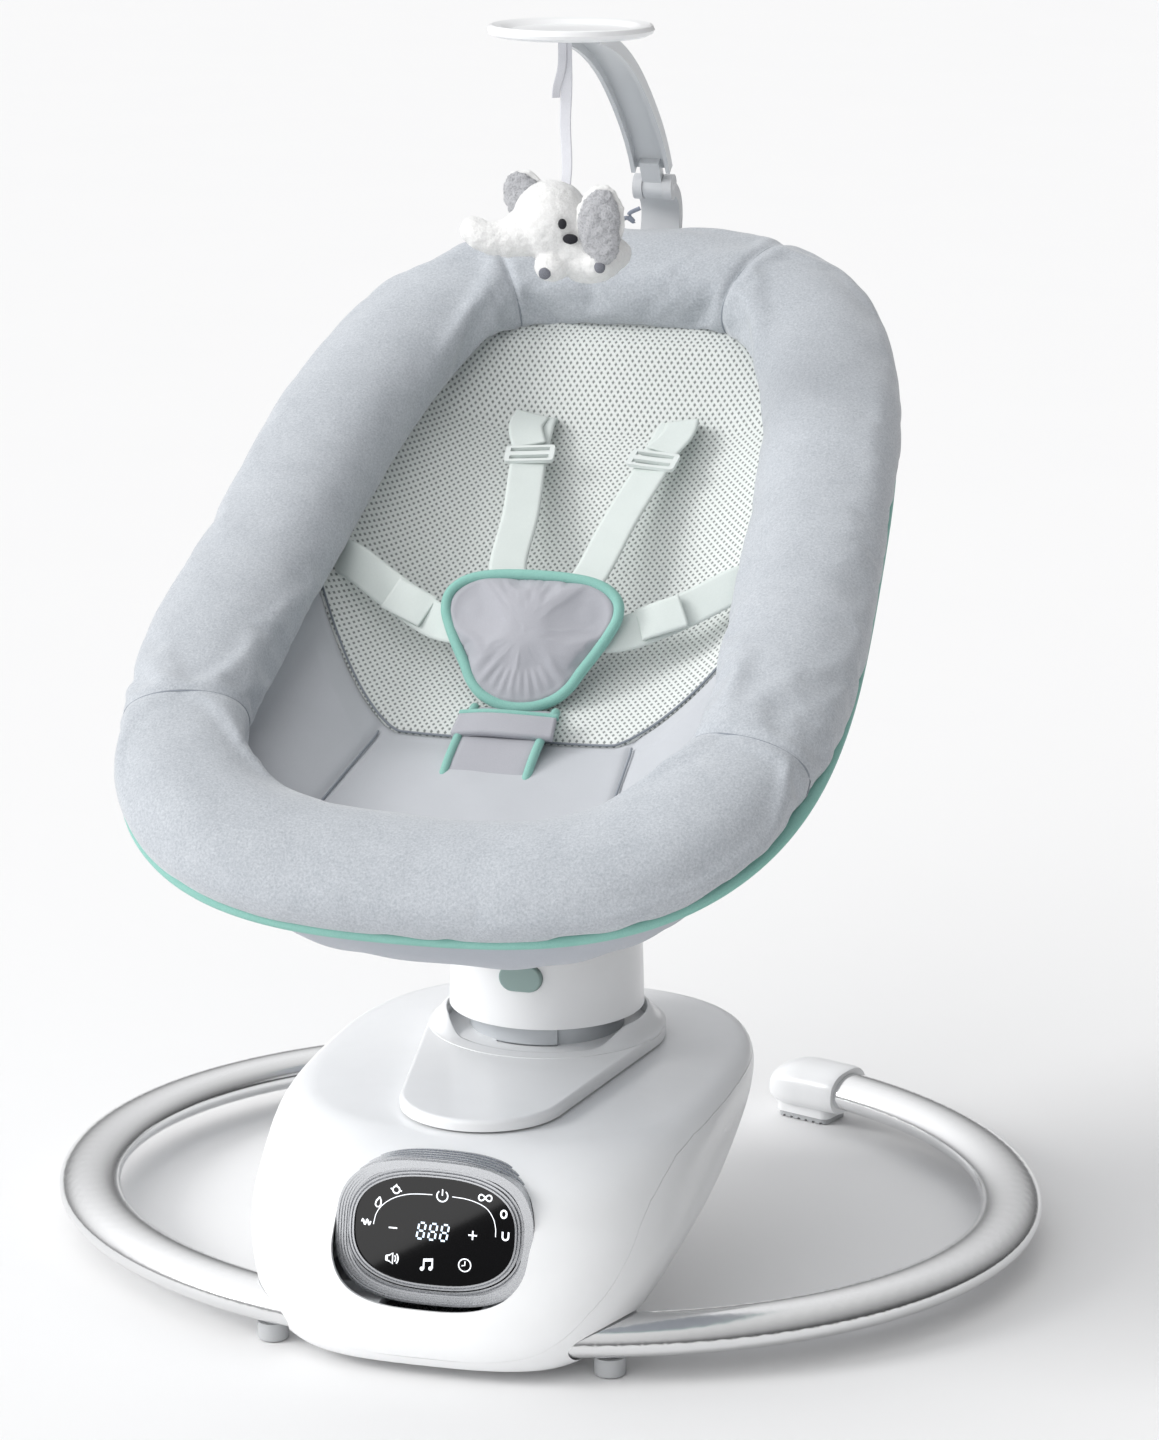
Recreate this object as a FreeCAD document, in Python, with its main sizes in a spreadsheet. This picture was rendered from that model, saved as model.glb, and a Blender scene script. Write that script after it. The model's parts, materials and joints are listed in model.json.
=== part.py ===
import FreeCAD, Part
import math, os
from FreeCAD import Vector as V, Placement, Rotation

# Electric baby swing: a C-shaped base ring, a drive housing with a touch
# panel, a swaying carriage, a lifting neck block and a seat on top with a
# harness and a toy bar. Millimetres, +Z up, origin on the floor at the
# centre of the base ring, the baby faces -Y.

doc = FreeCAD.newDocument("baby_swing")
sheet = doc.addObject("Spreadsheet::Sheet", "dims")
sheet.Label = "dims"

DIMS = [
    # base ring
    ("ring_semi_x", 315.0), ("ring_semi_y", 267.3), ("ring_axis_z", 25.0),
    ("ring_half_w", 20.5), ("ring_half_t", 12.5), ("ring_wall", 2.0),
    ("ring_gap_deg", 66.0),
    ("foot_radius", 10.0), ("foot_stud_r", 2.9), ("foot_high", 11.8), ("stud_high", 4.2),
    ("cap_half_w", 23.5), ("cap_half_t", 15.5), ("cap_sole_high", 4.0),
    # housing
    ("shell_wall", 3.0), ("shell_top", 130.0),
    ("deck_z", 92.0), ("deck_thick", 5.0),
    ("pivot_y", -150.0), ("post_radius", 8.0), ("post_high", 30.0),
    ("clamp_wide", 45.0),
    ("glass_wide", 108.0), ("glass_high", 73.0), ("glass_thick", 2.0),
    ("bezel_wide", 127.0), ("bezel_high", 89.0), ("bezel_deep", 9.0),
    ("board_wide", 96.0), ("board_high", 60.0), ("board_thick", 1.6),
    ("speaker_radius", 20.0), ("speaker_deep", 14.0),
    ("sway_motor_r", 18.0), ("sway_motor_high", 27.5),
    # carriage
    ("arm_z", 101.0), ("arm_thick", 10.0), ("arm_radius", 34.0),
    ("hub_radius", 22.0), ("bush_out", 11.0), ("bush_in", 8.05),
    ("gear_module", 1.5), ("sector_pitch_r", 60.0), ("pinion_pitch_r", 9.0),
    ("gear_z", 111.0), ("gear_thick", 6.0),
    ("stem_radius", 20.0), ("guide_radius", 52.0), ("guide_top", 190.0),
    ("guide_bore", 46.0), ("guide_floor", 139.0), ("guide_base", 133.0),
    ("lift_motor_r", 16.0), ("lift_motor_high", 41.0),
    ("screw_radius", 4.0), ("screw_long", 52.0),
    ("saddle_z", 131.6), ("saddle_thick", 7.5), ("saddle_front_r", 54.0),
    ("saddle_neck_r", 80.0), ("key_wide", 42.0), ("key_thick", 3.0),
    # neck block
    ("neck_radius", 65.5), ("neck_bottom", 154.0), ("neck_top", 212.0),
    ("neck_bore", 52.15), ("neck_ceiling", 206.0),
    ("button_wide", 29.0), ("button_high", 18.5), ("button_deep", 9.5), ("button_z", 189.0),
    ("nut_radius", 9.0), ("nut_bore", 4.05), ("nut_high", 18.0), ("nut_tube_in", 5.0),
    # seat
    ("seat_pitch", 28.2), ("seat_y", -12.1), ("seat_z", 450.2),
    ("rim_half_w", 180.5), ("rim_half_l", 298.9), ("rim_power", 3.49),
    ("rim_taper", -0.1208), ("rim_dish", 15.5),
    ("bolster_half_w", 43.0), ("bolster_half_t", 27.0),
    ("frame_tube_r", 8.0), ("frame_drop", 38.0),
    ("strut_radius", 7.0), ("hub_plate_r", 52.0), ("hub_plate_high", 16.0),
    ("webbing_wide", 25.0), ("webbing_thick", 1.8),
    ("pad_thick", 12.0),
    # toy bar
    ("toy_hinge_y", 286.0), ("toy_hinge_z", 665.0), ("toy_arm_wide", 28.0), ("toy_arm_thick", 9.0),
    ("disc_y", 62.0), ("disc_z", 794.0), ("disc_radius", 54.5), ("disc_thick", 7.5),
    ("ribbon_wide", 8.0), ("ribbon_thick", 1.0), ("ribbon_y", 50.0),
]
D = {}
for i, (name, value) in enumerate(DIMS):
    r = i + 1
    sheet.set("A%d" % r, name)
    sheet.set("B%d" % r, str(value))
    sheet.setAlias("B%d" % r, name)
doc.recompute()
for name, value in DIMS:
    D[name] = float(sheet.get(name))

NODES = []


def keep(obj, label):
    obj.Label = label
    NODES.append((label, obj))
    return obj


# ---------------------------------------------------------------- helpers
def origin_plane(body, role):
    for f in body.Origin.OriginFeatures:
        if f.Role == role:
            return f


def new_body(label):
    b = doc.addObject("PartDesign::Body", label)
    keep(b, label)
    return b


def new_sketch(body, role, name):
    s = body.newObject("Sketcher::SketchObject", name)
    s.AttachmentSupport = (origin_plane(body, role), "")
    s.MapMode = "FlatFace"
    return s


def bind_last(s, name, expr):
    n = s.ConstraintCount - 1
    s.renameConstraint(n, name)
    s.setExpression("Constraints." + name, expr)


import Sketcher


def circle(s, expr, name="radius_a", x=0.0, y=0.0):
    g = s.addGeometry(Part.Circle(V(x, y, 0), V(0, 0, 1), 10.0), False)
    s.addConstraint(Sketcher.Constraint("Radius", g, 10.0))
    bind_last(s, name, expr)
    if x == 0 and y == 0:
        s.addConstraint(Sketcher.Constraint("Coincident", g, 3, -1, 1))
    return g


def rect(s, wexpr, hexpr, tag="a", w=20.0, h=10.0):
    p = [V(-w / 2, -h / 2, 0), V(w / 2, -h / 2, 0), V(w / 2, h / 2, 0), V(-w / 2, h / 2, 0)]
    g = [s.addGeometry(Part.LineSegment(p[i], p[(i + 1) % 4]), False) for i in range(4)]
    for i in range(4):
        s.addConstraint(Sketcher.Constraint("Coincident", g[i], 2, g[(i + 1) % 4], 1))
    s.addConstraint(Sketcher.Constraint("Horizontal", g[0]))
    s.addConstraint(Sketcher.Constraint("Vertical", g[1]))
    s.addConstraint(Sketcher.Constraint("Horizontal", g[2]))
    s.addConstraint(Sketcher.Constraint("Vertical", g[3]))
    s.addConstraint(Sketcher.Constraint("Symmetric", g[0], 1, g[1], 2, -1, 1))
    s.addConstraint(Sketcher.Constraint("DistanceX", g[0], 1, g[0], 2, w))
    bind_last(s, "wide_" + tag, wexpr)
    s.addConstraint(Sketcher.Constraint("DistanceY", g[1], 1, g[1], 2, h))
    bind_last(s, "high_" + tag, hexpr)
    return g


def poly(s, pts):
    n = len(pts)
    g = []
    for i in range(n):
        a, b = pts[i], pts[(i + 1) % n]
        g.append(s.addGeometry(Part.LineSegment(V(a[0], a[1], 0), V(b[0], b[1], 0)), False))
    for i in range(n):
        s.addConstraint(Sketcher.Constraint("Coincident", g[i], 2, g[(i + 1) % n], 1))
    return g


def pill(s, w, h):
    # slot outline, long side along x
    r = h / 2.0
    a = w / 2.0 - r
    s.addGeometry(Part.LineSegment(V(-a, -r, 0), V(a, -r, 0)), False)
    s.addGeometry(Part.ArcOfCircle(Part.Circle(V(a, 0, 0), V(0, 0, 1), r), -math.pi / 2, math.pi / 2), False)
    s.addGeometry(Part.LineSegment(V(a, r, 0), V(-a, r, 0)), False)
    s.addGeometry(Part.ArcOfCircle(Part.Circle(V(-a, 0, 0), V(0, 0, 1), r), math.pi / 2, 3 * math.pi / 2), False)
    for i in range(4):
        s.addConstraint(Sketcher.Constraint("Coincident", i, 2, (i + 1) % 4, 1))


def pad(body, s, expr, name="pad", rev=False):
    p = body.newObject("PartDesign::Pad", name)
    p.Profile = s
    p.Length = 5
    p.setExpression("Length", expr)
    p.Reversed = rev
    doc.recompute()
    return p


def pocket_all(body, s, name="cut", depth=400.0, expr=None):
    before = body.Shape.Volume
    p = body.newObject("PartDesign::Pocket", name)
    p.Profile = s
    p.Type = 0
    p.Length = depth
    if expr:
        p.setExpression("Length", expr)
    doc.recompute()
    if abs(body.Shape.Volume - before) < 1e-3:
        p.Reversed = True
        doc.recompute()
    assert body.Shape.Volume < before - 1e-3, body.Label + " pocket"
    return p


def revolve(body, s, name="turn"):
    r = body.newObject("PartDesign::Revolution", name)
    r.Profile = s
    r.ReferenceAxis = (s, ["V_Axis"])
    r.Angle = 360
    doc.recompute()
    return r


def fillet(body, radius, pick, name="round", expr=None, kind="PartDesign::Fillet"):
    base = body.Tip
    names = ["Edge%d" % (i + 1) for i, e in enumerate(base.Shape.Edges) if pick(e)]
    if not names:
        return None
    f = body.newObject(kind, name)
    f.Base = (base, names)
    if kind.endswith("Fillet"):
        f.Radius = radius
    else:
        f.Size = radius
    if expr:
        f.setExpression("Radius" if kind.endswith("Fillet") else "Size", expr)
    doc.recompute()
    if "Invalid" in f.State or "Error" in f.State or f.Shape.isNull() or not f.Shape.isValid():
        body.removeObject(f)
        doc.removeObject(f.Name)
        body.Tip = base
        doc.recompute()
        return None
    return f


def feature(label, shape, place=None):
    o = doc.addObject("Part::Feature", label)
    o.Shape = shape
    if place is not None:
        o.Placement = place
    return keep(o, label)


def closed_wire(pts):
    c = Part.BSplineCurve()
    c.interpolate(Points=pts, PeriodicFlag=True)
    return Part.Wire([c.toShape()])


def sgnpow(a, p):
    return math.copysign(abs(a) ** p, a)


def slab(points, normal_half, width_dir, width):
    """A strap: a closed band along points, thickness 2*normal_half[i]."""
    top, bot = [], []
    n = len(points)
    for i, p in enumerate(points):
        a = points[max(0, i - 1)]
        b = points[min(n - 1, i + 1)]
        t = (b - a)
        t.normalize()
        nn = width_dir.cross(t)
        nn.normalize()
        top.append(p + nn * normal_half)
        bot.append(p - nn * normal_half)
    off = width_dir * (-width / 2.0)
    ring = [q + off for q in top] + [q + off for q in reversed(bot)]
    f = Part.Face(Part.makePolygon(ring + [ring[0]]))
    return f.extrude(width_dir * width)


TAU = math.radians(D["seat_pitch"])
CT, ST = math.cos(TAU), math.sin(TAU)


def seat(u, v, w):
    return V(u, D["seat_y"] + v * CT - w * ST, D["seat_z"] + v * ST + w * CT)


def rim_uv(a, dw=0.0, dl=0.0):
    """Outline of the seat rim in its own plane, grown by dw, dl."""
    n = D["rim_power"]
    u = (D["rim_half_w"] + dw) * sgnpow(math.cos(a), 2 / n)
    v = (D["rim_half_l"] + dl) * sgnpow(math.sin(a), 2 / n)
    vv = v / D["rim_half_l"]
    u *= 1 + D["rim_taper"] * vv - 0.0091 * vv * vv
    return u, v, vv


def rim_point(a, dw=0.0, dl=0.0, dz=0.0):
    u, v, vv = rim_uv(a, dw, dl)
    w = D["rim_dish"] * vv * vv + D["rim_dish"] * (u / D["rim_half_w"]) ** 2
    return seat(u, v, w + dz)


def even_angles(n, fn):
    """n parameters at even spacing along the closed outline fn."""
    m = 1440
    pts = [fn(2 * math.pi * i / m) for i in range(m + 1)]
    acc = [0.0]
    for i in range(m):
        acc.append(acc[-1] + (pts[i + 1] - pts[i]).Length)
    out, j = [], 0
    for k in range(n):
        target = acc[-1] * k / n
        while acc[j + 1] < target:
            j += 1
        f = (target - acc[j]) / (acc[j + 1] - acc[j])
        out.append(2 * math.pi * (j + f) / m)
    return out


def ring_sweep(fn_center, section, n=28, normal=None):
    """Closed tube along fn_center with section(half_w, half_t)."""
    angs = even_angles(n, fn_center)
    pts = [fn_center(a) for a in angs]
    cur = Part.BSplineCurve()
    cur.interpolate(Points=pts, PeriodicFlag=True)
    spine = Part.Wire([cur.toShape()])
    p0 = cur.value(cur.FirstParameter)
    t0 = cur.tangent(cur.FirstParameter)[0]
    up = normal if normal is not None else V(0, 0, 1)
    side = up.cross(t0)
    side.normalize()
    up2 = t0.cross(side)
    up2.normalize()
    hw, ht = section
    if hw >= ht:
        el = Part.Ellipse(p0 + side * hw, p0 + up2 * ht, p0) if abs(hw - ht) > 1e-6 else Part.Circle(p0, t0, hw)
    else:
        el = Part.Ellipse(p0 + up2 * ht, p0 + side * hw, p0)
    prof = Part.Wire([el.toShape()])
    mk = Part.BRepOffsetAPI.MakePipeShell(spine)
    mk.setBiNormalMode(up)
    mk.add(prof)
    mk.build()
    mk.makeSolid()
    return mk.shape()


SEAT_N = V(0, -ST, CT)

# ---------------------------------------------------------------- base ring
# Open C of flattened aluminium tube: an ellipse that stops short at the rear.
b = new_body("base_ring")
path = new_sketch(b, "XY_Plane", "ring_path")
gap = math.radians(D["ring_gap_deg"])
ell = Part.Ellipse(V(0, 0, 0), D["ring_semi_x"], D["ring_semi_y"])
path.addGeometry(Part.ArcOfEllipse(ell, math.pi - gap - 2 * math.pi, gap), False)
path.AttachmentOffset = Placement(V(0, 0, D["ring_axis_z"]), Rotation())
path.setExpression("AttachmentOffset.Base.z", "dims.ring_axis_z")
doc.recompute()
prof = new_sketch(b, "XZ_Plane", "ring_section")
for dw in (0.0, D["ring_wall"]):
    e = Part.Ellipse(V(D["ring_semi_x"], D["ring_axis_z"], 0), D["ring_half_w"] - dw, D["ring_half_t"] - dw)
    prof.addGeometry(e, False)
pipe = b.newObject("PartDesign::AdditivePipe", "ring_tube")
pipe.Profile = prof
pipe.Spine = (path, ["Edge1"])
doc.recompute()


def ring_xy(deg):
    a = math.radians(deg)
    return D["ring_semi_x"] * math.cos(a), D["ring_semi_y"] * math.sin(a)


ring_env_edge = Part.ArcOfEllipse(Part.Ellipse(V(0, 0, D["ring_axis_z"]), D["ring_semi_x"], D["ring_semi_y"]),
                                  math.radians(-150), math.radians(-30)).toShape()


def ring_envelope(grow):
    """The ring's outer shape over its front third, grown, to cut clearances."""
    c = ring_env_edge.Curve
    a0 = ring_env_edge.FirstParameter
    p0 = ring_env_edge.valueAt(a0)
    t0 = ring_env_edge.tangentAt(a0)
    side = V(0, 0, 1).cross(t0)
    e = Part.Ellipse(p0 + side * (D["ring_half_w"] + grow), p0 + V(0, 0, D["ring_half_t"] + grow), p0)
    mk = Part.BRepOffsetAPI.MakePipeShell(Part.Wire([ring_env_edge]))
    mk.setBiNormalMode(V(0, 0, 1))
    mk.add(Part.Wire([e.toShape()]))
    mk.build()
    mk.makeSolid()
    return mk.shape()


# stud holes for the two front feet, in the tube's underside
FOOT_X = 110.0
FOOT_Y = -D["ring_semi_y"] * math.sqrt(1 - (FOOT_X / D["ring_semi_x"]) ** 2)
sk = new_sketch(b, "XY_Plane", "stud_holes")
for sx in (-1, 1):
    sk.addGeometry(Part.Circle(V(sx * FOOT_X, FOOT_Y, 0), V(0, 0, 1), D["foot_stud_r"] + 0.02), False)
pocket_all(b, sk, "stud_cut", 20.0)

foot = Part.makeCylinder(D["foot_radius"], D["foot_high"])
foot = foot.makeFillet(1.2, [e for e in foot.Edges if e.BoundBox.ZMax < 1e-6])
foot = foot.fuse(Part.makeCylinder(D["foot_stud_r"], D["foot_high"] + D["stud_high"])).removeSplitter()
feet = []
for sx in (-1, 1):
    f = foot.copy()
    f.translate(V(sx * FOOT_X, FOOT_Y, 0))
    feet.append(f)


def group(label, solids):
    o = doc.addObject("Part::Feature", label)
    o.Shape = Part.makeCompound(solids)
    return keep(o, label)


group("foot_pads", feet)

# rear end caps: rounded plastic ends over the open tube, with a rubber sole
END_DEG = 90 - D["ring_gap_deg"] + 0.0


def cap_shape(sx, cut=True):
    # a superellipse loft along the tube direction over the last 60 mm
    g = gap
    ex, ey = D["ring_semi_x"] * math.cos(g), D["ring_semi_y"] * math.sin(g)
    tx, ty = -D["ring_semi_x"] * math.sin(g), D["ring_semi_y"] * math.cos(g)
    l = math.hypot(tx, ty)
    d = V(tx / l, ty / l, 0)
    n = V(d.y, -d.x, 0)
    wires = []
    for s_, k, drop in ((-36, 1.0, 0), (-20, 1.04, 0), (0, 1.05, 0.5), (12, 0.98, 1.5), (20, 0.80, 3.0), (24.5, 0.5, 4.5)):
        hw, ht = D["cap_half_w"] * k, D["cap_half_t"] * k
        c = V(ex, ey, D["ring_axis_z"] - drop) + d * s_
        if s_ < 0:
            # follow the tube's own curve
            a = g + s_ / l
            c = V(D["ring_semi_x"] * math.cos(a), D["ring_semi_y"] * math.sin(a), D["ring_axis_z"])
        pts = []
        for i in range(16):
            t = 2 * math.pi * i / 16
            pts.append(c + n * (hw * sgnpow(math.cos(t), 0.8)) + V(0, 0, ht * sgnpow(math.sin(t), 0.8)))
        wires.append(closed_wire(pts))
    body = Part.makeLoft(wires, True, False)
    # foot block under the cap
    blk = Part.makeBox(44, 30, 18, V(-22, -15, 0))
    blk = blk.makeFillet(6, [e for e in blk.Edges if abs(e.BoundBox.ZLength - 18) < 1e-6])
    ang = math.degrees(math.atan2(d.y, d.x))
    blk.Placement = Placement(V(ex, ey, D["cap_sole_high"]) - d * 4, Rotation(V(0, 0, 1), ang))
    body = body.fuse(blk)
    # bore that takes the tube
    a1, a0 = g, g - 60 / l
    arc = Part.ArcOfEllipse(Part.Ellipse(V(0, 0, D["ring_axis_z"]), D["ring_semi_x"], D["ring_semi_y"]), a0, a1).toShape()
    p0 = arc.valueAt(arc.FirstParameter)
    t0 = arc.tangentAt(arc.FirstParameter)
    sd = V(0, 0, 1).cross(t0)
    e = Part.Ellipse(p0 + sd * (D["ring_half_w"] + 0.05), p0 + V(0, 0, D["ring_half_t"] + 0.05), p0)
    mk = Part.BRepOffsetAPI.MakePipeShell(Part.Wire([arc]))
    mk.setBiNormalMode(V(0, 0, 1))
    mk.add(Part.Wire([e.toShape()]))
    mk.build()
    mk.makeSolid()
    body = body.cut(mk.shape())
    sole = Part.makeBox(42, 28, D["cap_sole_high"], V(-21, -14, 0))
    sole = sole.makeFillet(5.5, [q for q in sole.Edges if abs(q.BoundBox.ZLength - D["cap_sole_high"]) < 1e-6])
    for i in range(6):
        groove = Part.makeBox(2.2, 40, 1.2, V(-17.5 + 6.2 * i, -20, -0.01))
        sole = sole.cut(groove)
    sole.Placement = Placement(V(ex, ey, 0) - d * 4, Rotation(V(0, 0, 1), ang))
    if sx < 0:
        body = body.mirror(V(0, 0, 0), V(1, 0, 0))
        sole = sole.mirror(V(0, 0, 0), V(1, 0, 0))
    return body, sole


soles = []
for side, sx in (("left", -1), ("right", 1)):
    c, s = cap_shape(sx)
    feature("end_cap_" + side, c)
    soles.append(s)
group("end_soles", soles)

# ---------------------------------------------------------------- housing shells
# Horizontal outlines of the housing: height, half width, front y, rear y.
OUT = [(8, 92, -288, -185), (20, 110, -294, -165), (40, 126, -292, -130), (60, 137, -284, -80),
       (80, 145, -274, 0), (100, 147, -261, 75), (115, 146, -245, 108), (124, 142, -228, 116), (130, 128, -203, 112)]


def outline(z, hw, yf, yb, n=2.8, m=24):
    pts = []
    yc, hy = (yf + yb) / 2.0, (yb - yf) / 2.0
    raw = lambda t: V(hw * sgnpow(math.cos(t), 2 / n), yc + hy * sgnpow(math.sin(t), 2 / n), z)
    for a in even_angles(m, raw):
        pts.append(raw(a))
    return closed_wire(pts)


def outline_at(z):
    for p, q in zip(OUT[:-1], OUT[1:]):
        if z <= q[0]:
            f = max(0.0, (z - p[0]) / float(q[0] - p[0]))
            return [p[k] + (q[k] - p[k]) * f for k in (1, 2, 3)]
    return list(OUT[-1][1:])


def housing(inset, zlo, zhi):
    ws = []
    for z, hw, yf, yb in OUT:
        zz = min(max(z, zlo), zhi)
        if inset:
            if z == OUT[0][0]:
                zz = zlo
            hw, yf, yb = outline_at(zz)
            yb = outline_at(max(zz - inset * 1.35, OUT[0][0]))[2]
        ws.append((zz, hw, yf, yb))
    # keep the heights apart
    out, last = [], -1e9
    for zz, hw, yf, yb in ws:
        if zz - last < 1.0:
            continue
        last = zz
        out.append(outline(zz, hw - inset, yf + inset, yb - inset))
    return Part.makeLoft(out, True, False)


wall = D["shell_wall"]
outer = housing(0.0, 8.0, D["shell_top"])
inner = housing(wall, 8.0 + wall, D["shell_top"] - wall)
skin = outer.cut(inner)

# seam between the front/top cover and the rear/under shell, in side view
SEAM = [(-320, 14), (-292, 15), (-288, 20), (-283, 29), (-277, 38), (-271, 46), (-264, 53), (-256, 61), (-247, 70),
        (-237, 79), (-225, 89), (-210, 100), (-193, 109), (-172, 117), (-145, 121.5), (-106, 123.5), (0, 123), (150, 121)]


def seam_prism(dz, up):
    pts = [V(-200, y, z + dz) for y, z in SEAM]
    far = 300.0 if up else -100.0
    ring = pts + [V(-200, 150, far), V(-200, -320, far)]
    return Part.Face(Part.makePolygon(ring + [ring[0]])).extrude(V(400, 0, 0))


PANEL_TILT = 12.0
PANEL_C = V(0, -262.0, 84.8)
panel_place = Placement(PANEL_C, Rotation(V(1, 0, 0), 90 - PANEL_TILT))
# panel frame: local x across, local y up the face, local z out of the face


def oval(w, h, n=2.9, m=20, z=0.0):
    raw = lambda t: V(w / 2 * sgnpow(math.cos(t), 2 / n), h / 2 * sgnpow(math.sin(t), 2 / n), z)
    return closed_wire([raw(a) for a in even_angles(m, raw)])


def oval_prism(w, h, z0, z1):
    return Part.Face(oval(w, h, z=z0)).extrude(V(0, 0, z1 - z0))


bw, bh = D["bezel_wide"], D["bezel_high"]
cut_panel = oval_prism(bw + 0.6, bh + 0.6, -9.5, 60)
cut_panel.Placement = panel_place
front = skin.common(seam_prism(0.0, True)).cut(cut_panel)
# arc slot in the top for the carriage stem
stem_clear = D["stem_radius"] + 2.0
py = D["pivot_y"]
slot = None
R = -py
for a in range(-11, 12, 2):
    th = math.radians(a)
    c = Part.makeCylinder(stem_clear, 12, V(R * math.sin(th), py + R * math.cos(th), D["shell_top"] - 8))
    slot = c if slot is None else slot.fuse(c)
slot = slot.removeSplitter()
front = front.cut(slot)
rear = skin.common(seam_prism(-0.4, False))
tube = ring_envelope(1.2)
rear = rear.cut(tube)
front = front.cut(tube)
socket_hole = Part.makeBox(13, 30, 11, V(-6.5, -175, 27.5))
rear = rear.cut(socket_hole)
# speaker grille: slots through the rear shell's left flank
for i in range(5):
    g = Part.makeBox(60, 2.2, 22, V(-150, -228 + 7 * i, 52))
    rear = rear.cut(g)


def biggest(shape):
    return max(shape.Solids, key=lambda q: q.Volume)


feature("front_shell", biggest(front))
feature("rear_shell", biggest(rear))

# ---------------------------------------------------------------- panel
def stepped_bezel():
    deep = D["bezel_deep"]
    s = oval_prism(bw, bh, -deep, 0.0)
    steps = 5
    gw, gh = D["glass_wide"], D["glass_high"]
    for i in range(steps):
        f = i / float(steps)
        w_ = bw - 3.0 - (bw - 3.0 - gw - 2.0) * f
        h_ = bh - 3.0 - (bh - 3.0 - gh - 2.0) * f
        s = s.cut(oval_prism(w_, h_, -1.1 * (i + 1), 5))
    s = s.cut(oval_prism(gw - 6, gh - 6, -deep - 1, 5))
    s = s.cut(oval_prism(gw + 0.3, gh + 0.3, -6.5, 5))
    return s


feature("panel_bezel", stepped_bezel(), panel_place)
feature("panel_glass", oval_prism(D["glass_wide"], D["glass_high"], -6.5, -6.5 + D["glass_thick"]), panel_place)
b = new_body("control_board")
s = new_sketch(b, "XY_Plane", "board_outline")
rect(s, "dims.board_wide", "dims.board_high")
pad(b, s, "dims.board_thick")
fillet(b, 8, lambda e: abs(e.BoundBox.ZLength - 1.6) < 1e-6)
b.Placement = panel_place.multiply(Placement(V(0, 0, -14.0), Rotation()))
b = new_body("display_module")
s = new_sketch(b, "XY_Plane", "display_outline")
rect(s, "dims.board_wide * 0.32", "dims.board_high * 0.3")
pad(b, s, "dims.glass_thick * 1.8")
b.Placement = panel_place.multiply(Placement(V(0, 2, -12.35), Rotation()))

# ---------------------------------------------------------------- chassis
b = new_body("chassis")
s = new_sketch(b, "XY_Plane", "deck_outline")
poly(s, [(-80, -226), (80, -226), (92, -180), (92, -50), (60, 16), (-60, 16), (-92, -50), (-92, -180)])
pad(b, s, "dims.deck_thick", "deck")
for tag, sx in (("l", -1), ("r", 1)):
    s = new_sketch(b, "XY_Plane", "leg_" + tag)
    x0, x1 = sorted((sx * 36.0, sx * 50.0))
    poly(s, [(x0, -240), (x1, -240), (x1, -206), (x0, -206)])
    pad(b, s, "dims.deck_z - 46.1", "leg_pad_" + tag, rev=True)
s = new_sketch(b, "XY_Plane", "deck_holes")
s.addGeometry(Part.Circle(V(0, D["pivot_y"], 0), V(0, 0, 1), 6.0), False)
s.addGeometry(Part.Circle(V(-69.0, D["pivot_y"], 0), V(0, 0, 1), 4.2), False)
pocket_all(b, s, "deck_cut", 20.0)
b.Placement = Placement(V(0, 0, D["deck_z"]), Rotation())

uppers, lowers = [], []
clamp_room = housing(wall + 0.7, 8.0 + wall + 0.7, D["shell_top"] - wall - 0.7)
for side, sx in (("left", -1), ("right", 1)):
    cx = 55.0 * sx
    blk = Part.makeBox(D["clamp_wide"], 80, 21, V(cx - D["clamp_wide"] / 2, -285, 25.05))
    low = Part.makeBox(D["clamp_wide"], 58, 14.3, V(cx - D["clamp_wide"] / 2, -285, 10.6))
    env = ring_envelope(0.06)
    blk = blk.cut(Part.makeCylinder(2.05, 40, V(sx * 62.0, -214.0, 20)))
    blk = blk.cut(Part.makeBox(400, 60, 20, V(-200, -318, 40.5)))
    uppers.append(biggest(blk.cut(env).common(clamp_room)))
    lowers.append(biggest(low.cut(env).common(clamp_room)))
group("ring_clamps_upper", uppers)
group("ring_clamps_lower", lowers)

# pivot post with a flanged head
b = new_body("pivot_post")
s = new_sketch(b, "XZ_Plane", "post_profile")
r_, h_ = D["post_radius"], D["post_high"]
poly(s, [(0, -5), (5.95, -5), (5.95, 0.0), (12, 0.0), (12, 3.4), (r_, 3.4), (r_, h_ - 4), (11, h_ - 4), (11, h_ - 1), (9.5, h_), (0, h_)])
revolve(b, s)
b.Placement = Placement(V(0, D["pivot_y"], D["deck_z"] + D["deck_thick"]), Rotation())

# sway gearmotor under the deck
b = new_body("sway_motor")
s = new_sketch(b, "XY_Plane", "can")
circle(s, "dims.sway_motor_r")
pad(b, s, "dims.sway_motor_high")
s = new_sketch(b, "XY_Plane", "boss")
circle(s, "dims.sway_motor_r * 0.33")
pad(b, s, "dims.sway_motor_high * 0.12", rev=True)
b.Placement = Placement(V(-69, D["pivot_y"], D["deck_z"] - D["sway_motor_high"] - 0.05), Rotation())

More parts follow.
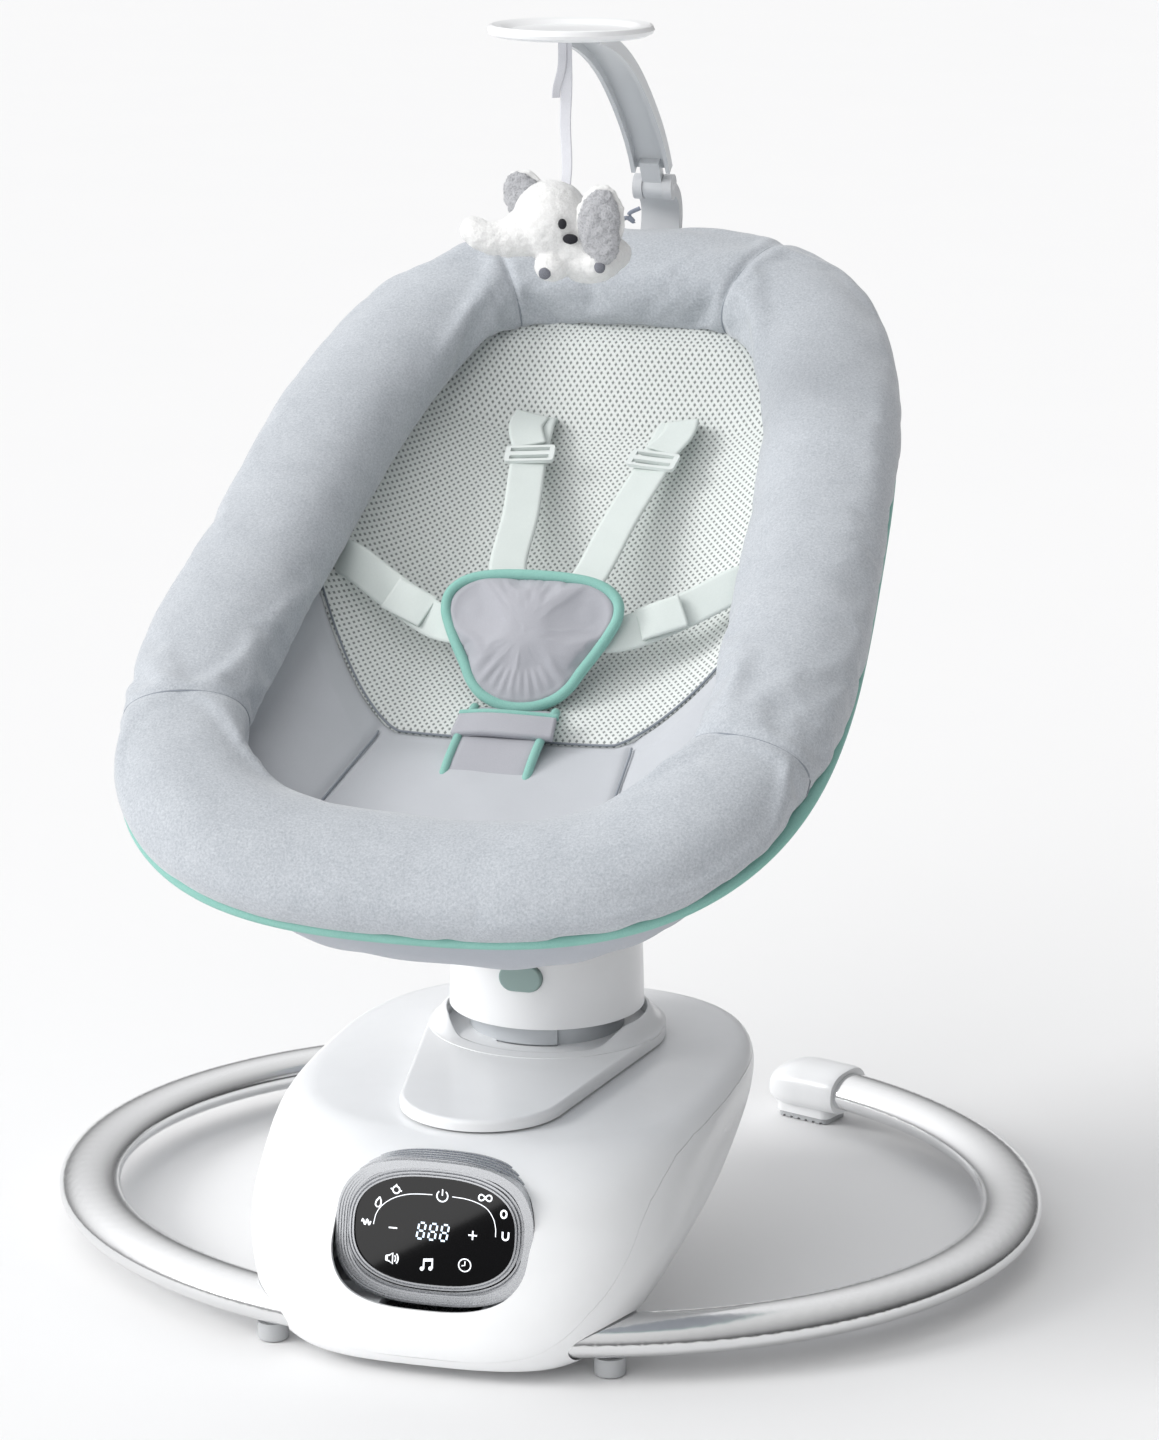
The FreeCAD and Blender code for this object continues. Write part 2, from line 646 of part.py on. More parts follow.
# loudspeaker and power inlet
b = new_body("speaker")
s = new_sketch(b, "XZ_Plane", "speaker_profile")
poly(s, [(0, 0), (11, 0), (11, 6), (D["speaker_radius"] - 2, 11), (D["speaker_radius"], 11), (D["speaker_radius"], D["speaker_deep"]),
         (D["speaker_radius"] - 3, D["speaker_deep"]), (8, 9), (0, 9)])
revolve(b, s)
b.Placement = Placement(V(-90, -214, 63), Rotation(V(0, 1, 0), -90))
b = new_body("power_inlet")
s = new_sketch(b, "XZ_Plane", "inlet_outline")
rect(s, "12", "10", w=12, h=10)
pad(b, s, "14")
s = new_sketch(b, "XZ_Plane", "inlet_hole")
circle(s, "2.9")
circle(s, "1.0", "pin_a")
pocket_all(b, s, "inlet_bore", 11.0)
b.Placement = Placement(V(0, -148.2, 33), Rotation())
# ---------------------------------------------------------------- gears
def gear(module, pitch_r, teeth_total, z0, thick, bore, first=0, count=None, thin=0.40, arc_only=False, phase=0.0, inner_r=None):
    ra = pitch_r + 0.80 * module
    rf = pitch_r - 1.10 * module
    step = 2 * math.pi / teeth_total
    half_p = math.pi * module * thin / 2 / pitch_r
    half_t = half_p * 0.55
    half_f = half_p * 1.45
    count = teeth_total if count is None else count
    base = Part.makeCylinder(rf, thick, V(0, 0, z0))
    out = base
    for k in range(first, first + count):
        a = k * step + phase
        p = [(rf - 0.6, a - half_f * 1.05), (ra, a - half_t), (ra, a + half_t), (rf - 0.6, a + half_f * 1.05)]
        ring = [V(r * math.cos(q), r * math.sin(q), z0) for r, q in p]
        t = Part.Face(Part.makePolygon(ring + [ring[0]])).extrude(V(0, 0, thick))
        out = out.fuse(t)
    return out.removeSplitter()


m_ = D["gear_module"]
n_sector = int(round(2 * D["sector_pitch_r"] / m_))
n_pinion = int(round(2 * D["pinion_pitch_r"] / m_))
# sector: teeth round the -X direction of the pivot
full = gear(m_, D["sector_pitch_r"], n_sector, D["gear_z"], D["gear_thick"], 0,
            first=n_sector // 2 - 6, count=13, phase=0.0)
wedge_pts = [V(0, 0, D["gear_z"]), V(-90, 34, D["gear_z"]), V(-90, -34, D["gear_z"])]
wedge = Part.Face(Part.makePolygon(wedge_pts + [wedge_pts[0]])).extrude(V(0, 0, D["gear_thick"]))
sector = full.common(wedge.fuse(Part.makeCylinder(D["hub_radius"] + 6, D["gear_thick"], V(0, 0, D["gear_z"]))))
sector = sector.cut(Part.makeCylinder(D["hub_radius"] + 0.02, 40, V(0, 0, D["gear_z"] - 5)))
feature("sector_gear", biggest(sector), Placement(V(0, D["pivot_y"], 0), Rotation()))
# pinion: a tooth space faces the sector's middle tooth (+X direction)
pin = gear(m_, D["pinion_pitch_r"], n_pinion, D["gear_z"] - 0.5, D["gear_thick"] + 1.0, 0, phase=math.pi / n_pinion)
shaft = Part.makeCylinder(3.0, D["gear_z"] + D["gear_thick"] + 2 - D["deck_z"] - 0.1, V(0, 0, D["deck_z"] + 0.1))
pin = pin.fuse(shaft).removeSplitter()
feature("sway_pinion", pin, Placement(V(-(D["sector_pitch_r"] + D["pinion_pitch_r"]), D["pivot_y"], 0), Rotation()))

# ---------------------------------------------------------------- carriage
b = new_body("swing_arm")
s = new_sketch(b, "XY_Plane", "arm_outline")
L = -D["pivot_y"]
ar = D["arm_radius"]
s.addGeometry(Part.LineSegment(V(ar, L, 0), V(ar, 0, 0)), False)
s.addGeometry(Part.ArcOfCircle(Part.Circle(V(0, 0, 0), V(0, 0, 1), ar), math.pi, 2 * math.pi), False)
s.addGeometry(Part.LineSegment(V(-ar, 0, 0), V(-ar, L, 0)), False)
s.addGeometry(Part.ArcOfCircle(Part.Circle(V(0, L, 0), V(0, 0, 1), ar), 0, math.pi), False)
pad(b, s, "dims.arm_thick", "arm_plate")
s = new_sketch(b, "XY_Plane", "hub_circle")
circle(s, "dims.hub_radius")
pad(b, s, "dims.arm_thick + 8", "hub_pad")
s = new_sketch(b, "XY_Plane", "arm_bores")
s.addGeometry(Part.Circle(V(0, 0, 0), V(0, 0, 1), D["bush_out"]), False)
s.addGeometry(Part.Circle(V(0, L, 0), V(0, 0, 1), D["stem_radius"]), False)
pocket_all(b, s, "arm_cut", 60.0)
s = new_sketch(b, "XY_Plane", "arm_window")
poly(s, [(-20, 36), (20, 36), (20, 112), (-20, 112)])
pocket_all(b, s, "arm_lighten", 60.0)
b.Placement = Placement(V(0, D["pivot_y"], D["arm_z"]), Rotation())

b = new_body("pivot_bush")
s = new_sketch(b, "XY_Plane", "bush_ring")
circle(s, "dims.bush_out", "outer_a")
circle(s, "dims.bush_in", "inner_a")
pad(b, s, "dims.arm_thick + 8")
b.Placement = Placement(V(0, D["pivot_y"], D["arm_z"]), Rotation())

b = new_body("glide_pads")
for tag, sx in (("l", -1), ("r", 1)):
    s = new_sketch(b, "XY_Plane", "glide_" + tag)
    s.addGeometry(Part.Circle(V(sx * 25, 0, 0), V(0, 0, 1), 7.0), False)
    if sx < 0:
        s.addGeometry(Part.Circle(V(25, 0, 0), V(0, 0, 1), 7.0), False)
        pad(b, s, "dims.arm_z - dims.deck_z - dims.deck_thick - 0.3")
    else:
        doc.removeObject(s.Name)
b.AllowCompound = True if hasattr(b, "AllowCompound") else False
b.Placement = Placement(V(0, -38, D["deck_z"] + D["deck_thick"] + 0.3), Rotation())

# guide tube: stem through the top slot, wide cup above it
b = new_body("guide_tube")
s = new_sketch(b, "XZ_Plane", "guide_profile")
sr, gr, gb = D["stem_radius"], D["guide_radius"], D["guide_bore"]
mr = D["lift_motor_r"] + 0.1
poly(s, [(mr, D["arm_z"]), (sr, D["arm_z"]), (sr, D["guide_base"]), (gr, D["guide_base"]), (gr, D["guide_top"] - 1),
         (gr - 1, D["guide_top"]), (gb, D["guide_top"]), (gb, D["guide_floor"]), (mr, D["guide_floor"])])
revolve(b, s)

kw, kt = D["key_wide"], D["key_thick"]
key = Part.makeBox(kw, 30, D["guide_top"] - 6 - D["guide_floor"], V(-kw / 2, -gr - kt, D["guide_floor"] + 1))
key = key.common(Part.makeCylinder(gr + kt - 0.2, 80, V(0, 0, D["guide_floor"] - 5))).cut(Part.makeCylinder(gr, 120, V(0, 0, 100)))
feature("guide_key", biggest(key))

b = new_body("lift_motor")
s = new_sketch(b, "XY_Plane", "motor_can")
circle(s, "dims.lift_motor_r")
pad(b, s, "dims.lift_motor_high")
fillet(b, 1.5, lambda e: e.BoundBox.ZLength < 1e-6)
b.Placement = Placement(V(0, 0, 98.5), Rotation())

b = new_body("lift_screw")
s = new_sketch(b, "XZ_Plane", "screw_profile")
z0 = 98.5 + D["lift_motor_high"] + 0.4
poly(s, [(0, 0), (7, 0), (7, 2.5), (D["screw_radius"], 2.5), (D["screw_radius"], D["screw_long"] - 1), (D["screw_radius"] - 1, D["screw_long"]), (0, D["screw_long"])])
revolve(b, s)
b.Placement = Placement(V(0, 0, z0), Rotation())

# saddle cover: tongue-shaped lid over the slot
def tongue(rf, rn, z0, z1):
    """Lid outline: the hull of a circle at the pivot and one at the neck."""
    yP, yN = D["pivot_y"], 0.0
    d = yN - yP
    a = math.asin((rn - rf) / d)
    c, sn = math.cos(a), math.sin(a)
    # tangent points of the two side lines
    p1 = V(rf * c, yP - rf * sn, z0)
    p2 = V(rn * c, yN - rn * sn, z0)
    q1, q2 = V(-p1.x, p1.y, z0), V(-p2.x, p2.y, z0)
    e = [Part.LineSegment(p1, p2).toShape(),
         Part.Arc(p2, V(0, yN + rn, z0), q2).toShape(),
         Part.LineSegment(q2, q1).toShape(),
         Part.Arc(q1, V(0, yP - rf, z0), p1).toShape()]
    return Part.Face(Part.Wire(e)).extrude(V(0, 0, z1 - z0))


st = D["saddle_thick"]
sad = tongue(D["saddle_front_r"], D["saddle_neck_r"], D["saddle_z"], D["saddle_z"] + st)
sad = sad.makeFillet(3.0, [e for e in sad.Edges if abs(e.BoundBox.ZMin - D["saddle_z"] - st) < 1e-6 and e.BoundBox.ZLength < 1e-6])
sad = sad.cut(tongue(D["saddle_front_r"] - 2.5, D["saddle_neck_r"] - 2.5, D["saddle_z"] - 1, D["saddle_z"] + st - 3))
sad = sad.cut(Part.makeCylinder(D["guide_radius"] + 0.02, 40, V(0, 0, 120)))
sad = sad.cut(Part.makeBox(kw + 0.04, 30, 40, V(-kw / 2 - 0.02, -gr - kt, 120)).common(Part.makeCylinder(gr + kt - 0.18, 80, V(0, 0, 110))))
# ring boss that carries the lid on the guide tube
feature("saddle_cover", biggest(sad))

# ---------------------------------------------------------------- neck block
b = new_body("neck_block")
s = new_sketch(b, "XZ_Plane", "neck_profile")
nr, nb = D["neck_radius"], D["neck_bore"]
zb, zt, zc = D["neck_bottom"], D["neck_top"], D["neck_ceiling"]
poly(s, [(nb, zb), (nr, zb), (nr - 1.5, zt - 3), (nr - 4, zt), (9.05, zt), (9.05, zc), (nb, zc)])
revolve(b, s)
# keyway in the front of the bore
s = new_sketch(b, "XY_Plane", "keyway")
poly(s, [(-kw / 2 - 0.3, -gr - kt - 0.35), (kw / 2 + 0.3, -gr - kt - 0.35), (kw / 2 + 0.3, -40), (-kw / 2 - 0.3, -40)])
pocket_all(b, s, "keyway_cut", zc - 0.01)
# button opening through the front wall
s = new_sketch(b, "XZ_Plane", "button_hole")
s.AttachmentOffset = Placement(V(0, D["button_z"], 0), Rotation())
pill(s, D["button_wide"] + 0.6, D["button_high"] + 0.6)
pocket_all(b, s, "button_cut", 90.0)
if b.Shape.BoundBox.YMax < 60 or True:
    # the opening goes through the front wall only
    cyl_back = b.Shape.common(Part.makeBox(20, 30, 8, V(-10, 45, D["button_z"] - 4))).Volume
    if cyl_back < 100:
        b.Tip.Reversed = not b.Tip.Reversed
        doc.recompute()

b = new_body("release_button")
s = new_sketch(b, "XZ_Plane", "button_outline")
pill(s, D["button_wide"], D["button_high"])
pad(b, s, "dims.button_deep")
fillet(b, 1.5, lambda e: abs(e.BoundBox.YMin + D["button_deep"]) < 1e-6 and e.BoundBox.YLength < 1e-6)
b.Placement = Placement(V(0, -57.5, D["button_z"]), Rotation())

# lift nut on its tube under the block's ceiling
b = new_body("nut_tube")
s = new_sketch(b, "XZ_Plane", "nut_tube_profile")
ti = D["nut_tube_in"]
poly(s, [(ti, 178), (9, 178), (9, zt - 0.01), (ti, zt - 0.01)])
revolve(b, s)
b = new_body("lift_nut")
s = new_sketch(b, "XY_Plane", "nut_ring")
circle(s, "dims.nut_radius", "outer_a")
circle(s, "dims.nut_bore", "inner_a")
pad(b, s, "dims.nut_high")
b.Placement = Placement(V(0, 0, 160), Rotation())

# ---------------------------------------------------------------- seat structure
b = new_body("seat_hub")
s = new_sketch(b, "XZ_Plane", "hub_profile")
hp, hh = D["hub_plate_r"], D["hub_plate_high"]
poly(s, [(0, 0.0), (46, 0.0), (46, 4), (hp, 6), (hp, hh), (hp - 4, hh + 4), (20, hh + 4), (20, hh + 9), (0, hh + 9)])
revolve(b, s)
b.Placement = Placement(V(0, 0, D["neck_top"]), Rotation())

frame_fn = lambda a: rim_point(a, -9.0, -19.0, -D["frame_drop"])
feature("seat_frame", ring_sweep(frame_fn, (D["frame_tube_r"], D["frame_tube_r"]), 28, SEAT_N))


def tube_path(pts, bend, r):
    """Straight runs joined by tangent arcs, swept with a circle."""
    edges = []
    cur = pts[0]
    for i in range(1, len(pts) - 1):
        a, p, c = cur, pts[i], pts[i + 1]
        d1 = (p - a)
        d2 = (c - p)
        l1, l2 = d1.Length, d2.Length
        d1.normalize()
        d2.normalize()
        ang = math.acos(max(-1, min(1, d1.dot(d2))))
        tl = min(bend * math.tan(ang / 2), 0.45 * min(l1, l2))
        rad = tl / math.tan(ang / 2)
        s0 = p - d1 * tl
        s1 = p + d2 * tl
        bis = (d2 - d1)
        bis.normalize()
        mid = p + bis * (rad / math.cos(ang / 2) - rad)
        edges.append(Part.LineSegment(cur, s0).toShape())
        edges.append(Part.Arc(s0, mid, s1).toShape())
        cur = s1
    edges.append(Part.LineSegment(cur, pts[-1]).toShape())
    w = Part.Wire(edges)
    t0 = (pts[1] - pts[0])
    t0.normalize()
    prof = Part.Wire([Part.Circle(pts[0], t0, r).toShape()])
    return w.makePipeShell([prof], True, True)


sr_ = D["strut_radius"]
for side, sx in (("left", -1), ("right", 1)):
    end = frame_fn(math.radians(-20) if sx > 0 else math.radians(200))
    end = end + V(-sx * (D["frame_tube_r"] + 0.6), 0, -3)
    p = [V(sx * 40, 0, 241), V(sx * 84, -12, 252), V(sx * 140, -28, 318), V(end.x - sx * 5, end.y + 6, end.z - 10)]
    shp = tube_path(p, 40, sr_)
    feature("support_strut_" + side, shp)
head = frame_fn(math.radians(90))
foot = frame_fn(math.radians(-90))
feature("support_strut_head", tube_path([V(0, 38, 241), V(0, 84, 262), V(0, 172, 410), V(0, head.y - 22, head.z - 30)], 60, sr_))
feature("support_strut_foot", tube_path([V(0, -38, 241), V(0, -110, 236), V(0, -196, 270), V(0, foot.y + 14, foot.z - 14)], 60, sr_))

# ---------------------------------------------------------------- soft goods
feature("rim_bolster", ring_sweep(lambda a: rim_point(a), (D["bolster_half_w"], D["bolster_half_t"]), 30, SEAT_N))
edge = (ring_sweep(lambda a: rim_point(a, 35.0, 35.0, -31.4), (4.0, 2.6), 30, SEAT_N))


def seat_wire(hw, hl, w, v0=0.0, n=3.0, m=22, taper=1.0):
    def raw(a):
        u = hw * sgnpow(math.cos(a), 2 / n)
        v = hl * sgnpow(math.sin(a), 2 / n)
        u *= 1 + D["rim_taper"] * taper * v / hl
        return seat(u, v + v0, w)
    return closed_wire([raw(a) for a in even_angles(m, raw)])


def lining(grow, drop):
    lv = [(-15, 151, 267, 0), (-24, 143, 254, 0), (-38, 118, 214, -12), (-46, 80, 150, -22)]
    ws = [seat_wire(hw + grow, hl + grow, w - drop, v0) for w, hw, hl, v0 in lv]
    return Part.makeLoft(ws, True, False)


dish_out = lining(0.0, 8.0)
dish_in = lining(-7.0, -0.5)
cap_box = seat_wire(260, 400, -15.5)
topcut = Part.Face(cap_box).extrude(SEAT_N * 60)
dish = dish_out.cut(dish_in).cut(topcut)
# the crease between mesh back and seat pan lies across the dish
crease = -118.0
front_half = Part.makeBox(500, 400, 300, V(-250, -400, -150))
back_half = Part.makeBox(500, 500, 300, V(-250, 0, -150))
seat_place = Placement(V(0, D["seat_y"], D["seat_z"]), Rotation(V(1, 0, 0), D["seat_pitch"]))
front_half.Placement = seat_place.multiply(Placement(V(0, crease - 0.5, 0), Rotation(V(1, 0, 0), 20)))
back_half.Placement = seat_place.multiply(Placement(V(0, crease + 0.5, 0), Rotation(V(1, 0, 0), 20)))
feature("seat_pan", biggest(dish.common(front_half)))
feature("mesh_back", biggest(dish.common(back_half)))

# under cover: a deep fabric bowl below the rim
def flat_wire(hw, hl, z, yc, n=2.4, m=20, tilt=0.0):
    raw = lambda a: V(hw * sgnpow(math.cos(a), 2 / n), yc + hl * sgnpow(math.sin(a), 2 / n), z + tilt * hl * sgnpow(math.sin(a), 2 / n))
    return closed_wire([raw(a) for a in even_angles(m, raw)])


def bowl(grow, lift):
    top = seat_wire(D["rim_half_w"] + 9 + grow, D["rim_half_l"] + 9 + grow, -14.0 + lift * 0.3, n=D["rim_power"])
    ws = [flat_wire(64 + grow, 72 + grow, 219 + lift, -28),
          flat_wire(118 + grow, 150 + grow, 262 + lift, -30, tilt=0.12),
          flat_wire(166 + grow, 222 + grow, 335 + lift, -22, n=2.8, tilt=0.36),
          top]
    return Part.makeLoft(ws, True, False)


cover = bowl(0.0, 0.0).cut(bowl(-3.0, 3.0))
above = Part.Face(seat_wire(300, 420, -14.2)).extrude(SEAT_N * 120)
cover = cover.cut(above)
cover = cover.cut(Part.makeCylinder(D["hub_plate_r"] + 1.0, 60, V(0, 0, 200)))

# harness
ww, wt = D["webbing_wide"], D["webbing_thick"]


def seat_pt(u, v, w):
    return seat(u, v, w)


for side, sx in (("left", -1), ("right", 1)):
    # shoulder strap: from the back slot down to the pad
    a_, b_ = V(sx * 49, 158, 519), V(sx * 29, 14, 446)
    t = b_ - a_
    t.normalize()
    wd = V(1, 0, 0) - t * t.x
    wd.normalize()
    pts = [a_ + V(0, 4, -9), a_, a_ * 0.66 + b_ * 0.34 + V(0, 0, 3), a_ * 0.33 + b_ * 0.67 + V(0, 0, 2), b_]
    pts = [p_ - wd * ((p_ - a_).dot(wd)) for p_ in pts]
    feature("shoulder_strap_" + side, slab(pts, wt / 2, wd, ww))
    # lap strap: from the side of the seat to the pad
    a_, b_ = V(sx * 128, -6, 447), V(sx * 56, -32, 418)
    t = b_ - a_
    t.normalize()
    up_ = V(0, -0.55, 0.83)
    wd = t.cross(up_)
    wd.normalize()
    pts = [a_, a_ * 0.6 + b_ * 0.4 + V(0, 0, -7) * 1.0, a_ * 0.25 + b_ * 0.75 + V(0, 0, -6), b_]
    pts = [p_ - wd * ((p_ - a_).dot(wd)) for p_ in pts]
    feature("lap_strap_" + side, slab(pts, wt / 2, wd, ww - 1))
    # adjuster: frame with a bar, runs on the shoulder strap
    a_, b_ = V(sx * 49, 158, 519), V(sx * 29, 14, 446)

# harness pad frame: centre, lean, normal to the front and up
PAD_C = V(0, -36, 410)
PAD_LEAN = 57.0
pad_place = Placement(PAD_C, Rotation(V(1, 0, 0), PAD_LEAN))
# local x across, local y up the pad, local z out of its face


def pad_outline(s, z):
    pts = []
    for k in range(20):
        a = 2 * math.pi * k / 20
        y = 46 * math.sin(a)
        half = 56 if y > 0 else 56 + 0.46 * y
        x = half * sgnpow(math.cos(a), 0.85)
        pts.append(V(x * s, y * s, z))
    return closed_wire(pts)


pt = D["pad_thick"]
feature("harness_pad", Part.makeLoft([pad_outline(0.86, 0.0), pad_outline(1.0, pt * 0.35), pad_outline(1.0, pt * 0.6), pad_outline(0.84, pt)], True, False), pad_place)

b = new_body("buckle_body")
s = new_sketch(b, "XY_Plane", "buckle_outline")
rect(s, "44", "34", w=44, h=34)
pad(b, s, "9")
s = new_sketch(b, "XY_Plane", "buckle_bore")
circle(s, "8.3")
pocket_all(b, s, "bore", 6.0)
if abs(b.Shape.BoundBox.ZMin) < 1e-6 and b.Shape.isInside(V(0, 0, 1), 1e-4, True):
    b.Tip.Reversed = not b.Tip.Reversed
fillet(b, 5, lambda e: abs(e.BoundBox.ZLength - 9) < 1e-6)
b.Placement = pad_place.multiply(Placement(V(0, -8, -10.5), Rotation()))

strap_pts = [V(0, -118, 359), V(0, -108, 363), V(0, -96, 367), V(0, -84, 370)]
feature("crotch_strap", slab(strap_pts, 1.6, V(1, 0, 0), 50.0))

# strap adjusters
for side, sx in (("left", -1), ("right", 1)):
    a_, b_ = V(sx * 49, 158, 519), V(sx * 29, 14, 446)
    t = b_ - a_
    t.normalize()
    wd = V(1, 0, 0) - t * t.x
    wd.normalize()
    nn = wd.cross(t)
    if nn.z < 0:
        nn = nn * -1
    fr = Part.makeBox(34, 17, 2.6, V(-17, -8.5, 0))
    fr = fr.makeFillet(2.5, [e for e in fr.Edges if abs(e.BoundBox.ZLength - 2.6) < 1e-6])
    fr = fr.cut(Part.makeBox(27, 4.0, 5, V(-13.5, -6.1, -1))).cut(Part.makeBox(27, 4.0, 5, V(-13.5, 2.1, -1)))
    m4 = FreeCAD.Matrix(wd.x, t.x, nn.x, 0, wd.y, t.y, nn.y, 0, wd.z, t.z, nn.z, 0, 0, 0, 0, 1)
    if wd.cross(t).dot(nn) < 0:
        m4 = FreeCAD.Matrix(-wd.x, t.x, nn.x, 0, -wd.y, t.y, nn.y, 0, -wd.z, t.z, nn.z, 0, 0, 0, 0, 1)
    pl = Placement(m4)
    c_ = a_ + t * 47 + nn * (wt / 2 + 3.2)
    pl.Base = c_
    feature("strap_adjuster_" + side, fr, pl)

# ---------------------------------------------------------------- toy bar
hy, hz = D["toy_hinge_y"], D["toy_hinge_z"]
# socket: a curved bracket from the frame tube up behind the bolster, forked at the top
headp = frame_fn(math.radians(90))
aw, at = D["toy_arm_wide"], D["toy_arm_thick"]


def band(line, half, x0, x1):
    pts = [V(x0, y, z) for y, z in line]
    c = Part.BSplineCurve()
    c.interpolate(pts)
    n = 14
    up_, dn = [], []
    for i in range(n + 1):
        u = c.FirstParameter + (c.LastParameter - c.FirstParameter) * i / n
        p = c.value(u)
        t_ = c.tangent(u)[0]
        nrm = V(0, t_.z, -t_.y)   # points outwards of the curve
        up_.append(p + nrm * half[0])
        dn.append(p + nrm * half[1])
    cu, cd = Part.BSplineCurve(), Part.BSplineCurve()
    cu.interpolate(up_)
    cd.interpolate(list(reversed(dn)))
    w_ = Part.Wire([cu.toShape(), Part.LineSegment(up_[-1], dn[-1]).toShape(), cd.toShape(), Part.LineSegment(dn[0], up_[0]).toShape()])
    return Part.Face(w_).extrude(V(x1 - x0, 0, 0))


SOCK = [(headp.y + D["frame_tube_r"] + 0.9, headp.z - 3), (headp.y + 27, headp.z + 6), (headp.y + 43, headp.z + 22), (headp.y + 51, headp.z + 49), (308.5, 643), (hy, hz)]
sock = band(SOCK, (at / 2, -at / 2), -aw / 2, aw / 2)
sock = sock.fuse(Part.makeCylinder(9.0, aw, V(-aw / 2, hy, hz), V(1, 0, 0)))
gap_box = Part.makeBox(14.6, 60, 60, V(-7.3, -30, -10.5))
gap_box.Placement = Placement(V(0, hy, hz), Rotation(V(1, 0, 0), 38))
sock = sock.cut(gap_box)
sock = sock.cut(Part.makeCylinder(3.0, 60, V(-30, hy, hz), V(1, 0, 0)))
clampb = Part.makeCylinder(D["frame_tube_r"] + 4.2, 20, V(-10, headp.y, headp.z), V(1, 0, 0))
sock = sock.fuse(clampb)
sock = sock.cut(Part.makeCylinder(D["frame_tube_r"] + 1.1, 60, V(-30, headp.y, headp.z), V(1, 0, 0))).removeSplitter()
feature("toy_bar_socket", biggest(sock))
# the cover and the edge band are notched where the socket passes
notch = band(SOCK, (at / 2 + 0.8, -at / 2 - 0.8), -aw / 2 - 0.8, aw / 2 + 0.8)
notch = notch.fuse(Part.makeCylinder(D["frame_tube_r"] + 5.0, 21.6, V(-10.8, headp.y, headp.z), V(1, 0, 0)))
feature("edge_band", biggest(edge.cut(notch)))
feature("under_cover", biggest(cover.cut(notch)))

b = new_body("toy_bar_pin")
s = new_sketch(b, "YZ_Plane", "pin_circle")
circle(s, "2.95")
pad(b, s, "dims.toy_arm_wide")
b.Placement = Placement(V(-D["toy_arm_wide"] / 2, hy, hz), Rotation())

# arm: a channel section along a curve, open on the inside
ARM = [(hy, hz), (267, 693), (227, 728), (183, 756), (131, 777), (84, 787.5)]
arm = band(ARM, (at / 2, -at / 2), -aw / 2, aw / 2)
groove_a = band(ARM, (at / 2 - 3.0, -at / 2 - 6), -aw / 2 + 3, aw / 2 - 3)
side_probe = V(0, ARM[2][0], ARM[2][1])
arm = arm.cut(groove_a)
# the first stretch gives way to the fork and becomes a tongue between its cheeks
clear = Part.makeBox(60, 60, 60, V(-30, -30, -30)).common(Part.makeCylinder(15.5, 60, V(-30, 0, 0), V(1, 0, 0)))
clear.Placement = Placement(V(0, hy, hz), Rotation())
arm = arm.cut(clear)
tong = Part.makeCylinder(8.0, 14, V(-7, hy, hz), V(1, 0, 0))
ny, nz = ARM[1][0] - hy, ARM[1][1] - hz
ln = math.hypot(ny, nz)
bar = Part.makeBox(14, 24, 8, V(-7, 0, -4))
bar.Placement = Placement(V(0, hy, hz), Rotation(V(1, 0, 0), math.degrees(math.atan2(nz, ny))))
tong = tong.fuse(bar).cut(Part.makeCylinder(3.0, 60, V(-30, hy, hz), V(1, 0, 0)))
arm = arm.fuse(tong).removeSplitter()
DISC = V(0, D["disc_y"], D["disc_z"])
disc_bot = D["disc_z"] - D["disc_thick"] / 2
arm = arm.cut(Part.makeBox(200, 200, 60, V(-100, D["disc_y"] - 60, disc_bot + 0.0)).common(Part.makeCylinder(D["disc_radius"] + 0.05, 80, V(0, D["disc_y"], disc_bot))))
feature("toy_arm", biggest(arm))

b = new_body("toy_disc")
s = new_sketch(b, "XZ_Plane", "disc_profile")
dr, dt = D["disc_radius"], D["disc_thick"]
poly(s, [(0, 0), (dr - 5, 0), (dr - 1.2, 1.8), (dr, dt * 0.55), (dr - 1.2, dt - 0.6), (dr - 3, dt), (dr - 9, dt - 0.8), (dr - 16, dt - 3.2), (0, dt - 4.0)])
revolve(b, s)
s = new_sketch(b, "XY_Plane", "ribbon_slot")
poly(s, [(-7.2, -14), (7.2, -14), (7.2, -10.0), (-7.2, -10.0)])
pocket_all(b, s, "ribbon_cut", 20.0)
b.Placement = Placement(V(0, D["disc_y"], disc_bot), Rotation())

ry = D["ribbon_y"]
rb = Part.makeBox(D["ribbon_wide"], D["ribbon_thick"], 96, V(-D["ribbon_wide"] / 2, ry - 0.5, 700.0))
feature("toy_ribbon", rb)

# plush elephant: simple closed body, head, trunk and ears
def ball(c, rx, ry_, rz):
    s_ = Part.makeSphere(1.0)
    m4 = FreeCAD.Matrix()
    m4.scale(rx, ry_, rz)
    s_ = s_.transformGeometry(m4)
    s_.translate(c)
    return s_


toy = ball(V(0, ry, 672), 29, 25, 26)
toy = toy.fuse(ball(V(17, ry + 8, 660), 25, 21, 20))
toy = toy.fuse(ball(V(-26, ry - 6, 664), 20, 12, 11))
feature("toy_elephant", toy)

# ---------------------------------------------------------------- fasteners
def pan_screw(p, d, head_r=4.2, head_h=2.6, r=2.0, long_=12.0):
    d = V(d)
    d.normalize()
    h_ = Part.makeCylinder(head_r, head_h, p, d)
    sh = Part.makeCylinder(r, long_, p, d * -1)
    return h_.fuse(sh).removeSplitter()


def screw_group(label, items, **kw_):
    solids = [pan_screw(V(*p), V(*d), **kw_) for p, d in items]
    feature(label, Part.makeCompound(solids))
    return solids


# the two screws that hold the clamps' rear ledges together
screw_group("clamp_screws", [((sx * 62.0, -214.0, 46.05), (0, 0, 1)) for sx in (-1, 1)])

doc.recompute()

